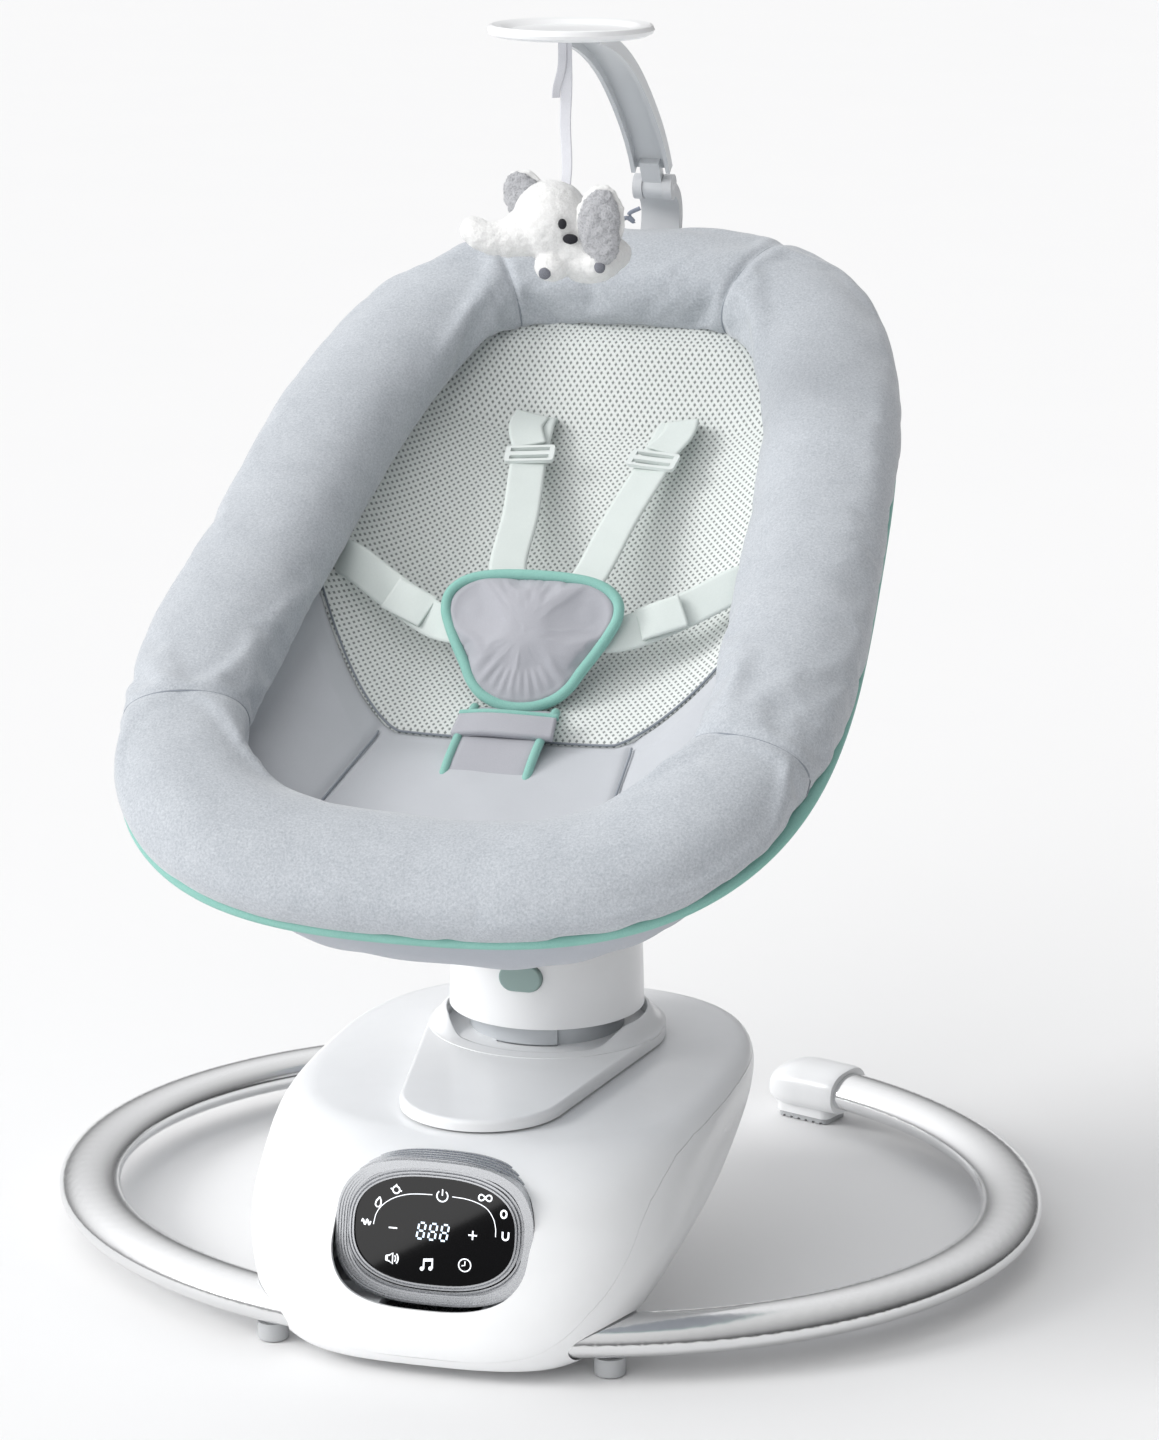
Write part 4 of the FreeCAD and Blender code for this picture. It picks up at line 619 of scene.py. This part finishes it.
def make_pad():
    m_, rings = 160, 22
    line = pad_line(1.0, m_)
    verts, faces = [], []
    pins = {}
    for sgn in (1, -1):
        for r in range(rings + 1):
            s = 1 - r / rings
            for x, y in line:
                th_ = 0.0085 * (1 - s ** 3.0) ** 0.62 * (1.0 if sgn > 0 else 0.7)
                g = 0.0
                if y < -0.020 and s > 0.5:
                    g = 0.0011 * math.sin(x * 800) * (s - 0.5) * 2 * (1 - s) * 4
                if r == 0 and sgn < 0:
                    continue
                if r == 0:
                    pins[len(verts)] = 1.0
                verts.append(PAD_M @ Vector((x * s * 0.95, y * s * 0.95, sgn * th_ + g)))
    def idx(side, r, i):
        i %= m_
        if r == 0:
            return i
        return i + r * m_ if side > 0 else m_ * (rings + 1) + (r - 1) * m_ + i
    for side in (1, -1):
        for r in range(rings):
            for i in range(m_):
                f = (idx(side, r, i), idx(side, r, i + 1), idx(side, r + 1, i + 1), idx(side, r + 1, i))
                faces.append(f if side > 0 else f[::-1])
    o = mesh_obj("harness_pad_cushion", verts, faces, "pad_fabric", "seat")
    bm = bmesh.new()
    bm.from_mesh(o.data)
    bmesh.ops.remove_doubles(bm, verts=bm.verts, dist=1e-6)
    bm.to_mesh(o.data)
    bm.free()
    vg = o.vertex_groups.new(name="pin")
    inv = PAD_M.inverted()
    for v in o.data.vertices:
        if abs((inv @ v.co).z) < 0.0012:
            vg.add([v.index], 1.0, "REPLACE")
    o.data.polygons.foreach_set("use_smooth", [True] * len(o.data.polygons))
    return o


pad = make_pad()
simulate([rim, pad], 18, [4.0, 3.0])
sub = rim.modifiers.new("sub", "SUBSURF")
sub.levels = sub.render_levels = 1
apply_mods(rim)
done(rim)
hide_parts("rim_bolster")
done(pad)
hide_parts("harness_pad")
piping = tube("harness_pad_piping", [PAD_M @ Vector((x, y, 0.0008)) for x, y in pad_line(0.985)], 0.0036, "mint_trim", "seat", closed=True, k=12, up=Vector(PAD_M.to_3x3() @ Vector((0, 0, 1))))
done(piping)

# cross seams on the rim: thin stitched lines lying in the grooves
back_pan = lining()
for o in back_pan:
    done(o)
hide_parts("seat_pan")
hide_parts("mesh_back")

def pan_seam(name, line, n=60):
    pts_ = []
    for i in range(n + 1):
        u_, v_ = line(i / n)
        pts_.append(seat(u_ , v_, depth(u_, v_) - 0.0002))
    sm_ = tube(name, pts_, 0.0008, "seam_thread", "seat", k=6)
    done(sm_)


for tag_, sg_ in (("left", -1), ("right", 1)):
    pan_seam("pan_seam_" + tag_, lambda t, sg_=sg_: (sg_ * (0.084 + 0.0095 * t * 1.2), -0.121 - 0.13 * t))
pan_seam("pan_seam_cross", lambda t: ((-0.155 + 0.31 * t) * (1 - 0.1208 * v_crease(-0.158 + 0.316 * t) / 0.2989 * 0.7), v_crease(-0.158 + 0.316 * t)), 120)

# mint band under the outer edge of the rim
def rim_offset(off, dz, n):
    """Points at a true distance off outside the rim's centre line."""
    angs_, _ = even(n, lambda a: rim_uvw(a))
    c_ = [Vector(rim_uvw(a)) for a in angs_]
    out_ = []
    for i in range(n):
        t_ = c_[(i + 1) % n] - c_[i - 1]
        sd = Vector((t_.y, -t_.x, 0)).normalized()
        q_ = c_[i] + sd * off
        out_.append(seat(q_.x, q_.y, q_.z + dz))
    return out_


pts = rim_offset(0.0385, -0.0150, 400)
band = tube("edge_binding", pts, 0.0056, "mint_trim", "seat", closed=True, k=12, flat=0.75, up=SN)
done(band)
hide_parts("edge_band")


# under cover: fabric sling below the rim
def under():
    m_ = 120
    levels = []
    def seat_ring(a):
        u, v, w = rim_uvw(a, 0.026, 0.026)
        u0, v0, w0 = rim_uvw(a)
        return seat(u, v, w0 - 0.0175)
    def flat_ring(hw, hl, z, yc, n, tilt):
        def f(a):
            s = pw(math.sin(a), 2 / n)
            return Vector((hw * pw(math.cos(a), 2 / n), yc + hl * s, z + tilt * hl * s))
        return f
    fns = [seat_ring, flat_ring(0.168, 0.224, 0.335, -0.022, 2.8, 0.36), flat_ring(0.120, 0.152, 0.262, -0.030, 2.4, 0.12), flat_ring(0.070, 0.078, 0.2205, -0.028, 2.4, 0)]
    angs_ = [2 * math.pi * i / m_ for i in range(m_)]
    cols = []
    for a in angs_:
        cols.append(smooth_line([f(a) for f in fns], 24))
    verts, faces = [], []
    for r in range(25):
        for i in range(m_):
            p = cols[i][r]
            k_ = math.sin(math.pi * r / 24)
            dirn = (p - Vector((0, -0.02, 0.4))).normalized()
            p = p + dirn * (noise.noise(p * 16) * 0.004 * k_ + 0.0012 * math.sin(angs_[i] * 26 + 3 * noise.noise(p * 6)) * k_)
            verts.append(p)
    for r in range(24):
        for i in range(m_):
            faces.append((r * m_ + i, (r + 1) * m_ + i, (r + 1) * m_ + (i + 1) % m_, r * m_ + (i + 1) % m_))
    o = mesh_obj("under_sling", verts, faces, "cover_grey", "seat")
    md = o.modifiers.new("sub", "SUBSURF")
    md.levels = md.render_levels = 1
    md = o.modifiers.new("thick", "SOLIDIFY")
    md.thickness = 0.002
    apply_mods(o)
    return o


sling = under()
done(sling)
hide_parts("under_cover")

# ---------------------------------------------------------------- harness
for side, sx in (("left", -1), ("right", 1)):
    a_, b_ = Vector((sx * 0.049, 0.158, 0.519)), Vector((sx * 0.029, 0.014, 0.446))
    o = strap("shoulder_webbing_" + side,
              [a_ + Vector((0, 0.006, -0.012)), a_ + Vector((0, 0.001, 0.001)), a_.lerp(b_, 0.3) + Vector((sx * 0.001, 0, 0.003)), a_.lerp(b_, 0.68) + Vector((-sx * 0.001, 0, 0.003)), b_ + Vector((0, -0.004, 0.002)), b_.lerp(PAD_C, 0.5) + Vector((sx * 0.004, 0, 0))],
              0.0248, 0.0015, "webbing", "seat", [(1, 0, sx * 0.1), (1, 0, sx * 0.05)])
    done(o)
    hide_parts("shoulder_strap_" + side)
    # loose tail folded back behind the adjuster
    o = strap("shoulder_tail_" + side,
              [a_ + Vector((sx * 0.004, -0.001, 0.0035)), a_.lerp(b_, 0.12) + Vector((sx * 0.007, 0, 0.006)), a_.lerp(b_, 0.24) + Vector((sx * 0.002, 0, 0.0055))],
              0.0235, 0.0014, "webbing", "seat", [(1, 0.05, sx * 0.2), (1, 0, 0)], 24)
    done(o)
    a_, b_ = Vector((sx * 0.128, -0.006, 0.447)), Vector((sx * 0.046, -0.042, 0.417))
    up_ = Vector((0, 0.62, 0.78))
    o = strap("lap_webbing_" + side,
              [a_ + Vector((sx * 0.016, 0.008, 0.004)), a_, a_.lerp(b_, 0.35) + Vector((0, 0, -0.004)), a_.lerp(b_, 0.75) + Vector((0, -0.002, -0.005)), b_],
              0.0242, 0.0015, "webbing", "seat", [up_ + Vector((0, 0, 0.2)), up_])
    done(o)
    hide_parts("lap_strap_" + side)
    c_ = a_.lerp(b_, 0.55) + Vector((0, -0.003, -0.003))
    o = strap("lap_fold_" + side,
              [c_ + Vector((sx * 0.016, 0.004, 0.006)), c_ + Vector((0, -0.001, 0.0005)), c_ + Vector((-sx * 0.012, -0.0035, -0.004))],
              0.0238, 0.0015, "webbing", "seat", [up_, up_ + Vector((sx * 0.25, 0, 0))], 20)
    done(o)

# crotch strap, lavender with mint edges, and a folded loop at its top
cs = [(0, -0.150, 0.343), (0, -0.132, 0.3535), (0, -0.112, 0.362), (0, -0.092, 0.368), (0, -0.074, 0.372)]
o = strap("crotch_webbing", cs, 0.052, 0.004, "pad_fabric", "seat", [(1, 0, 0), (1, 0, 0)], 40)
md = o.modifiers.new("sub", "SUBSURF")
md.levels = md.render_levels = 1
apply_mods(o)
done(o)
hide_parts("crotch_strap")
for sx in (-1, 1):
    o = tube("crotch_binding_" + ("left" if sx < 0 else "right"), smooth_line([Vector(p) + Vector((sx * 0.027, 0, 0.001)) for p in cs], 40), 0.0030, "mint_trim", "seat", k=10)
    done(o)
fold = smooth_line([Vector((-0.031, -0.104, 0.3680)), Vector((-0.012, -0.106, 0.3705)), Vector((0.012, -0.106, 0.3705)), Vector((0.034, -0.103, 0.3690))], 30)
o = strap("crotch_fold", [tuple(p) for p in fold], 0.020, 0.0045, "pad_fabric", "seat", [(0, 0.9, 0.42), (0, 0.9, 0.42)], 30)
done(o)
o = tube("crotch_fold_binding", [p + Vector((0, 0.010, 0.0055)) for p in fold], 0.0022, "mint_trim", "seat", k=8)
done(o)


# ------------------------------------------------------------ toy elephant
def blob(parts, name, mat, voxel, fuzz, seed):
    bm = bmesh.new()
    for c, r, rot in parts:
        mm = Matrix.Translation(Vector(c) / 1000) @ Matrix.Rotation(math.radians(rot), 4, "Y") @ Matrix.Diagonal((*[x / 1000 for x in r], 1))
        bmesh.ops.create_icosphere(bm, subdivisions=3, radius=1.0, matrix=mm)
    me = bpy.data.meshes.new(name)
    bm.to_mesh(me)
    bm.free()
    o = bpy.data.objects.new(name, me)
    scene.collection.objects.link(o)
    md = o.modifiers.new("rm", "REMESH")
    md.mode = "VOXEL"
    md.voxel_size = voxel
    md = o.modifiers.new("sm", "SMOOTH")
    md.iterations = 10
    md.factor = 0.6
    apply_mods(o)
    me = o.data
    for v in me.vertices:
        p = v.co
        d = noise.noise(p * 260 + Vector((seed, 0, 0))) * fuzz + noise.noise(p * 620) * fuzz * 0.6
        v.co = p + v.normal * d
    me.materials.clear()
    me.materials.append(MAT[mat])
    me.polygons.foreach_set("use_smooth", [True] * len(me.polygons))
    return o


vx = 0.0013
body = blob([((-8, 44, 672), (26, 24, 27), 0), ((8, 50, 660), (25, 24, 24), 0), ((16, 50, 651), (24, 22, 20), 0),
             ((-26, 38, 664), (16, 15, 15.5), 0), ((-35, 35, 661), (13.5, 12.5, 13), 0), ((-44, 32, 661), (12, 11, 11.5), 0), ((-52, 30, 663), (10.5, 10, 10.5), 0), ((-57, 30, 666), (9.5, 9, 9.5), 0),
             ((-5, 34, 644), (12, 12, 10.5), 0), ((26, 36, 648), (12, 12, 11), 0), ((8, 62, 644), (13, 11, 11), 0), ((30, 58, 650), (12, 11, 11), 0)],
            "elephant_body", "plush_white", vx, 0.0006, 0)
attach(body, "toy")
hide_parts("toy_elephant")
earR = blob([((28.5, 26, 674), (14.5, 5.5, 23), 6), ((32, 26, 661), (11, 5.0, 15), 10)], "elephant_ear_right", "plush_grey", vx, 0.0011, 7)
earRb = blob([((28, 30.0, 674), (17.0, 4.8, 25.5), 6)], "elephant_ear_back_right", "plush_white", vx, 0.0009, 9)
earL = blob([((-31, 58, 685), (14, 5.0, 16.5), -25), ((-34, 58, 691), (11, 4.6, 11), -25)], "elephant_ear_left", "plush_grey", vx, 0.0011, 5)
earLb = blob([((-30.5, 61.5, 685.5), (15.6, 4.4, 18.5), -25)], "elephant_ear_back_left", "plush_white", vx, 0.0009, 3)
for o in (earR, earRb, earL, earLb):
    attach(o, "toy")
for nm, c, r, mt_ in (("eye_a", (5.5, 20.6, 673.5), (3.2, 1.5, 3.9), "thread_black"), ("eye_b", (10, 23.6, 663.5), (5.6, 1.6, 3.6), "thread_black"),
                      ("foot_a", (-7.0, 22.6, 640.5), (4.4, 1.8, 4.2), "thread_grey"), ("foot_b", (29.5, 24.4, 645.8), (4.0, 1.8, 4.4), "thread_grey")):
    o = blob([(c, r, 0)], "elephant_" + nm, mt_, 0.0006, 0.0001, 1)
    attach(o, "toy")
tl = smooth_line([(0.031, 0.066, 0.668), (0.036, 0.067, 0.6725), (0.041, 0.068, 0.670), (0.038, 0.067, 0.675), (0.045, 0.069, 0.679)], 30)
o = tube("elephant_tail", tl, 0.0014, "knot_blue", "toy", k=8)
done(o)

# ribbon: one strand hanging down from the disc, and a loose tail
rb = smooth_line([(0.0, 0.050, 0.7895), (0.0005, 0.0497, 0.76), (-0.0005, 0.0503, 0.735), (0.0008, 0.0495, 0.710), (0.0, 0.050, 0.695)], 50)
o = strap("ribbon_main", [tuple(p) for p in rb], 0.0075, 0.0006, "ribbon_white", "toy", [(1, 0.3, 0), (1, -0.4, 0)], 60)
done(o)
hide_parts("toy_ribbon")
o = strap("ribbon_tail", [(-0.002, 0.0485, 0.7895), (-0.0022, 0.048, 0.772), (-0.0055, 0.0475, 0.758), (-0.0062, 0.048, 0.7515)], 0.0055, 0.0006, "ribbon_white", "toy", [(1, 0.1, 0), (0.8, 0.6, 0)], 30)
done(o)


# ------------------------------------------- skirt round the neck on the saddle
def sstep(x):
    x = min(1.0, max(0.0, x))
    return x * x * (3 - 2 * x)


sk_v, sk_f = [], []
SK_A, SK_R = 160, 16
for i in range(SK_A):
    phi = 2 * math.pi * i / SK_A
    off = abs((phi - 1.5 * math.pi + math.pi) % (2 * math.pi) - math.pi)
    hgt = 0.0108 * sstep((math.degrees(off) - 42) / 26)
    prof_ = [(0.0672, 0.1375)]
    for r in range(SK_R + 1):
        f_ = r / SK_R
        prof_.append((0.0672 + 0.0125 * f_ + 0.0002, 0.1394 + hgt * (1 - sstep(f_)) ** 1.0))
    prof_.append((0.0797, 0.1375))
    for r_, z_ in prof_:
        sk_v.append(Vector((r_ * math.cos(phi), r_ * math.sin(phi), z_)))
SK_N = SK_R + 3
for i in range(SK_A):
    for j in range(SK_N):
        a0, a1 = i * SK_N + j, i * SK_N + (j + 1) % SK_N
        b0, b1 = ((i + 1) % SK_A) * SK_N + j, ((i + 1) % SK_A) * SK_N + (j + 1) % SK_N
        sk_f.append((a0, b0, b1, a1))
skirt = mesh_obj("saddle_skirt", sk_v, sk_f, "white_shell", "carriage")
done(skirt)

# ----------------------------------------------------------- panel glyphs
PANEL = Matrix.Translation(Vector((0, -0.262, 0.0848))) @ Matrix.Rotation(math.radians(78), 4, "X")
lo_g, hi_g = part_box("panel_glass")
GLZ = None
inv = PANEL.inverted()
zs = [(inv @ (frame["nodes"]["panel_glass"].matrix_world @ v.co)).z for v in frame["nodes"]["panel_glass"].data.vertices]
GLZ = max(zs) + 0.00012


# ribbed oval surround that falls back from the glass to the shell
RIBS = 6
br_v, br_f = [], []
BR_M = 160
prof_b = [(1.0, 0.0)]
for k in range(RIBS):
    s0, s1 = 1.0 + 0.245 * k / RIBS, 1.0 + 0.245 * (k + 1) / RIBS
    z0 = 0.0006 - 0.0052 * (k / RIBS) ** 1.3
    prof_b += [(s0 + 0.004, z0 + 0.0007), (s0 + (s1 - s0) * 0.62, z0 + 0.0006), (s0 + (s1 - s0) * 0.80, z0 - 0.0006), (s1 - 0.002, z0 - 0.0007)]
for k in range(4):
    s0, z0 = 1.246 + 0.016 * k, -0.0050 - 0.0042 * k
    prof_b += [(s0 + 0.010, z0 - 0.0006), (s0 + 0.014, z0 - 0.0026), (s0 + 0.011, z0 - 0.0030), (s0 + 0.011, z0 - 0.0040)]
for i in range(BR_M):
    a = 2 * math.pi * i / BR_M
    for s_, z_ in prof_b:
        g_ = (s_ - 1.0) * 0.0520
        br_v.append(PANEL @ Vector(((0.0518 + g_) * pw(math.cos(a), 2 / 2.55) - 0.0006, (0.0333 + g_ * 0.92) * pw(math.sin(a), 2 / 2.55) + 0.0010, GLZ + 0.0002 + z_)))
BR_K = len(prof_b)
for i in range(BR_M):
    for j in range(BR_K - 1):
        a0, b0 = i * BR_K + j, ((i + 1) % BR_M) * BR_K + j
        br_f.append((a0, a0 + 1, b0 + 1, b0))
ribs = mesh_obj("bezel_ribs", br_v, br_f, "bezel_metal", "base", smooth=False)
rf = ribs.modifiers.new("thick", "SOLIDIFY")
rf.thickness = 0.0006
rf.offset = -1
done(ribs)


def glyph(name, strokes, width=0.0009, mat="glyph", closed=()):
    """Thin flat strokes on the glass; coordinates in millimetres on the panel."""
    verts, faces = [], []
    for k, st in enumerate(strokes):
        cl = k in closed
        pts_ = [Vector((x / 1000, y / 1000, 0)) for x, y in st]
        n_ = len(pts_)
        base = len(verts)
        for i, p in enumerate(pts_):
            a = pts_[(i - 1) % n_] if (cl or i) else pts_[0]
            c = pts_[(i + 1) % n_] if (cl or i < n_ - 1) else pts_[-1]
            t = (c - a).normalized()
            s = Vector((-t.y, t.x, 0)) * width / 2
            for sg in (1, -1):
                q = p + s * sg
                verts.append(PANEL @ Vector((q.x, q.y, GLZ)))
        for i in range(n_ if cl else n_ - 1):
            a0, b0 = base + 2 * i, base + 2 * ((i + 1) % n_)
            faces.append((a0, a0 + 1, b0 + 1, b0))
    o = mesh_obj(name, verts, faces, mat, "base", smooth=False)
    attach(o, "base")
    return o


def arc(cx, cy, r, a0, a1, n=24, ry=None):
    ry = ry or r
    return [(cx + r * math.cos(math.radians(a0 + (a1 - a0) * i / n)), cy + ry * math.sin(math.radians(a0 + (a1 - a0) * i / n))) for i in range(n + 1)]


glyph("icon_power", [arc(3.1, 23.2, 3.5, 128, 412, 30), [(3.1, 27.4), (3.1, 23.4)]], 0.0008)
glyph("icon_arcs", [[(p.x, p.y) for p in smooth_line([(x, y, 0) for x, y in line_], 60)] for line_ in (
    [(-40.5, 1.5), (-38.9, 8.5), (-35.2, 14.0), (-28.7, 18.8), (-20.0, 22.0), (-11.2, 23.1), (-3.3, 23.4)],
    [(9.5, 23.3), (17.9, 22.8), (25.9, 21.0), (32.3, 17.8), (36.5, 12.3), (38.3, 6.5), (38.6, 1.0)])], 0.0005)
glyph("icon_minus", [[(-30.4, 0.45), (-24.9, 0.45)]], 0.0009)
glyph("icon_plus", [[(21.1, 0.6), (26.7, 0.6)], [(23.9, -2.2), (23.9, 3.4)]], 0.0009)
seg = []
for d in range(3):
    x0, y0, w_, h_, sl = -12.3 + d * 7.5, -4.6, 4.3, 5.0, 0.16

    def sp(x, y, x0=x0, y0=y0):
        return (x0 + x + y * sl, y0 + y)
    g_ = 0.85
    for a, b_ in (((g_, 0), (w_ - g_, 0)), ((g_, h_), (w_ - g_, h_)), ((g_, 2 * h_), (w_ - g_, 2 * h_)),
                  ((0, g_), (0, h_ - g_)), ((0, h_ + g_), (0, 2 * h_ - g_)), ((w_, g_), (w_, h_ - g_)), ((w_, h_ + g_), (w_, 2 * h_ - g_))):
        seg.append([sp(*a), sp(*b_)])
glyph("digits", seg, 0.00115, "digit")
glyph("icon_speaker", [[(-31.2, -17.2), (-31.2, -20.2)], [(-30.4, -16.9), (-30.4, -20.5)], [(-31.2, -17.2), (-29.2, -16.9), (-26.9, -15.1), (-26.9, -22.1), (-29.2, -20.4), (-31.2, -20.1)],
                       arc(-27.6, -18.6, 2.7, -44, 44, 10), arc(-27.6, -18.6, 4.3, -44, 44, 12)], 0.0008)
glyph("icon_note", [[(-6.6, -23.2), (-6.6, -17.2), (-1.1, -16.6), (-1.1, -22.4)], [(-6.6, -18.1), (-1.1, -17.5)],
                    arc(-7.7, -23.2, 0.75, 0, 360, 12), arc(-2.2, -22.6, 0.75, 0, 360, 12)], 0.0011)
glyph("icon_clock", [arc(19.8, -18.4, 3.9, 0, 360, 30), [(19.9, -15.9), (19.9, -18.5), (17.8, -18.9)]], 0.0007)
glyph("icon_wave", [[(-48.1 + i * 0.32, 2.5 + 1.7 * math.sin(i * 0.72)) for i in range(19)]], 0.0010)
glyph("icon_drop", [[(-37.2, 18.9), (-39.2, 16.4), (-39.9, 14.2), (-38.9, 12.7), (-37.3, 12.7), (-36.3, 14.2), (-36.2, 16.4), (-37.2, 18.9)]], 0.0009)
glyph("icon_sprout", [arc(-26.8, 24.3, 2.2, 0, 360, 20), [(-29.0, 24.3), (-30.4, 25.0)], [(-24.6, 24.3), (-23.2, 23.6)], [(-27.6, 26.3), (-26.8, 27.6), (-26.0, 26.3)]], 0.0009)
glyph("icon_eight", [[(30.7 + 4.2 * math.cos(t_) / (1 + math.sin(t_) ** 2), 24.6 + 5.2 * math.sin(t_) * math.cos(t_) / (1 + math.sin(t_) ** 2)) for t_ in [2 * math.pi * i / 40 for i in range(41)]]], 0.0009)
glyph("icon_round", [arc(43.1, 15.6, 1.8, 0, 360, 24, 2.3)], 0.0011)
glyph("icon_cup", [[(43.0, 4.7)] + arc(44.9, 1.6, 1.9, 180, 360, 14, 1.9) + [(46.8, 4.7)]], 0.0011)

# ------------------------------------------------------------------- stage
bpy.ops.mesh.primitive_plane_add(size=80, location=(0, 0, -0.0006))
floor = bpy.context.object
floor.name = "floor"
mt, nt, b = new_mat("floor_paint")
L(nt, ramp(nt, noise_tex(nt, coords(nt), 3, 2), (0.885, 0.885, 0.888), (0.895, 0.895, 0.897)), b.inputs["Base Color"])
b.inputs["Roughness"].default_value = 0.7
b.inputs["Specular IOR Level"].default_value = 0.1
floor.data.materials.append(mt)

WORLD, KEY, SIDE = 0.90, 1.50, 0.80
world = bpy.data.worlds.new("world")
scene.world = world
world.use_nodes = True
wn = world.node_tree
bg = wn.nodes["Background"]
gtc = N(wn, "ShaderNodeTexCoord")
gsep = N(wn, "ShaderNodeSeparateXYZ")
L(wn, gtc.outputs["Generated"], gsep.inputs[0])
gr = N(wn, "ShaderNodeValToRGB")
cr = gr.color_ramp
cr.elements[0].position, cr.elements[0].color = 0.0, (0.16, 0.16, 0.165, 1)
cr.elements[1].position, cr.elements[1].color = 1.0, (1.0, 1.0, 1.0, 1)
for pos_, val_ in ((0.10, 0.2), (0.32, 0.62), (0.6, 0.95)):
    e_ = cr.elements.new(pos_)
    e_.color = (val_, val_, val_ * 1.01, 1)
L(wn, gsep.outputs["Z"], gr.inputs["Fac"])
L(wn, gr.outputs["Color"], bg.inputs["Color"])
side_ = math_node(wn, "MULTIPLY", gsep.outputs["X"], -SIDE * WORLD)
L(wn, math_node(wn, "ADD", side_, WORLD), bg.inputs["Strength"])


def sun(name, to, strength, angle, color=(1, 1, 1)):
    d = bpy.data.lights.new(name, "SUN")
    d.energy = strength
    d.angle = math.radians(angle)
    d.color = color
    o = bpy.data.objects.new(name, d)
    scene.collection.objects.link(o)
    o.rotation_euler = Vector(to).to_track_quat("-Z", "Y").to_euler()
    return o


sun("key", (0.80, 0.36, -0.50), KEY, 22, (1.0, 0.995, 0.985))

fill = sun("fill", (0.42, 0.84, -0.40), 0.55, 50)
fill.visible_glossy = False

# soft box in front, to the left, which the panel glass shows
def softbox(name, at_, size, toward, power, spin=0.0):
    d = bpy.data.lights.new(name, "AREA")
    d.shape = "RECTANGLE"
    d.size, d.size_y = size
    d.energy = power
    o = bpy.data.objects.new(name, d)
    scene.collection.objects.link(o)
    q_ = (Vector(toward) - Vector(at_)).to_track_quat("-Z", "Y")
    o.matrix_world = Matrix.Translation(Vector(at_)) @ q_.to_matrix().to_4x4() @ Matrix.Rotation(spin, 4, "Z")
    return o


box_at = Vector((-0.78, -2.57, 0.374))
zb = (box_at - Vector((0, -0.262, 0.085))).normalized()
xb = Vector((math.cos(math.radians(29)), 0, math.sin(math.radians(29))))
xb = (xb - zb * xb.dot(zb)).normalized()
fb = softbox("front_box", box_at, (1.4, 0.5), (0, -0.262, 0.085), 3.4)
mb = Matrix((xb, zb.cross(xb), zb)).transposed().to_4x4()
mb.translation = box_at
fb.matrix_world = mb
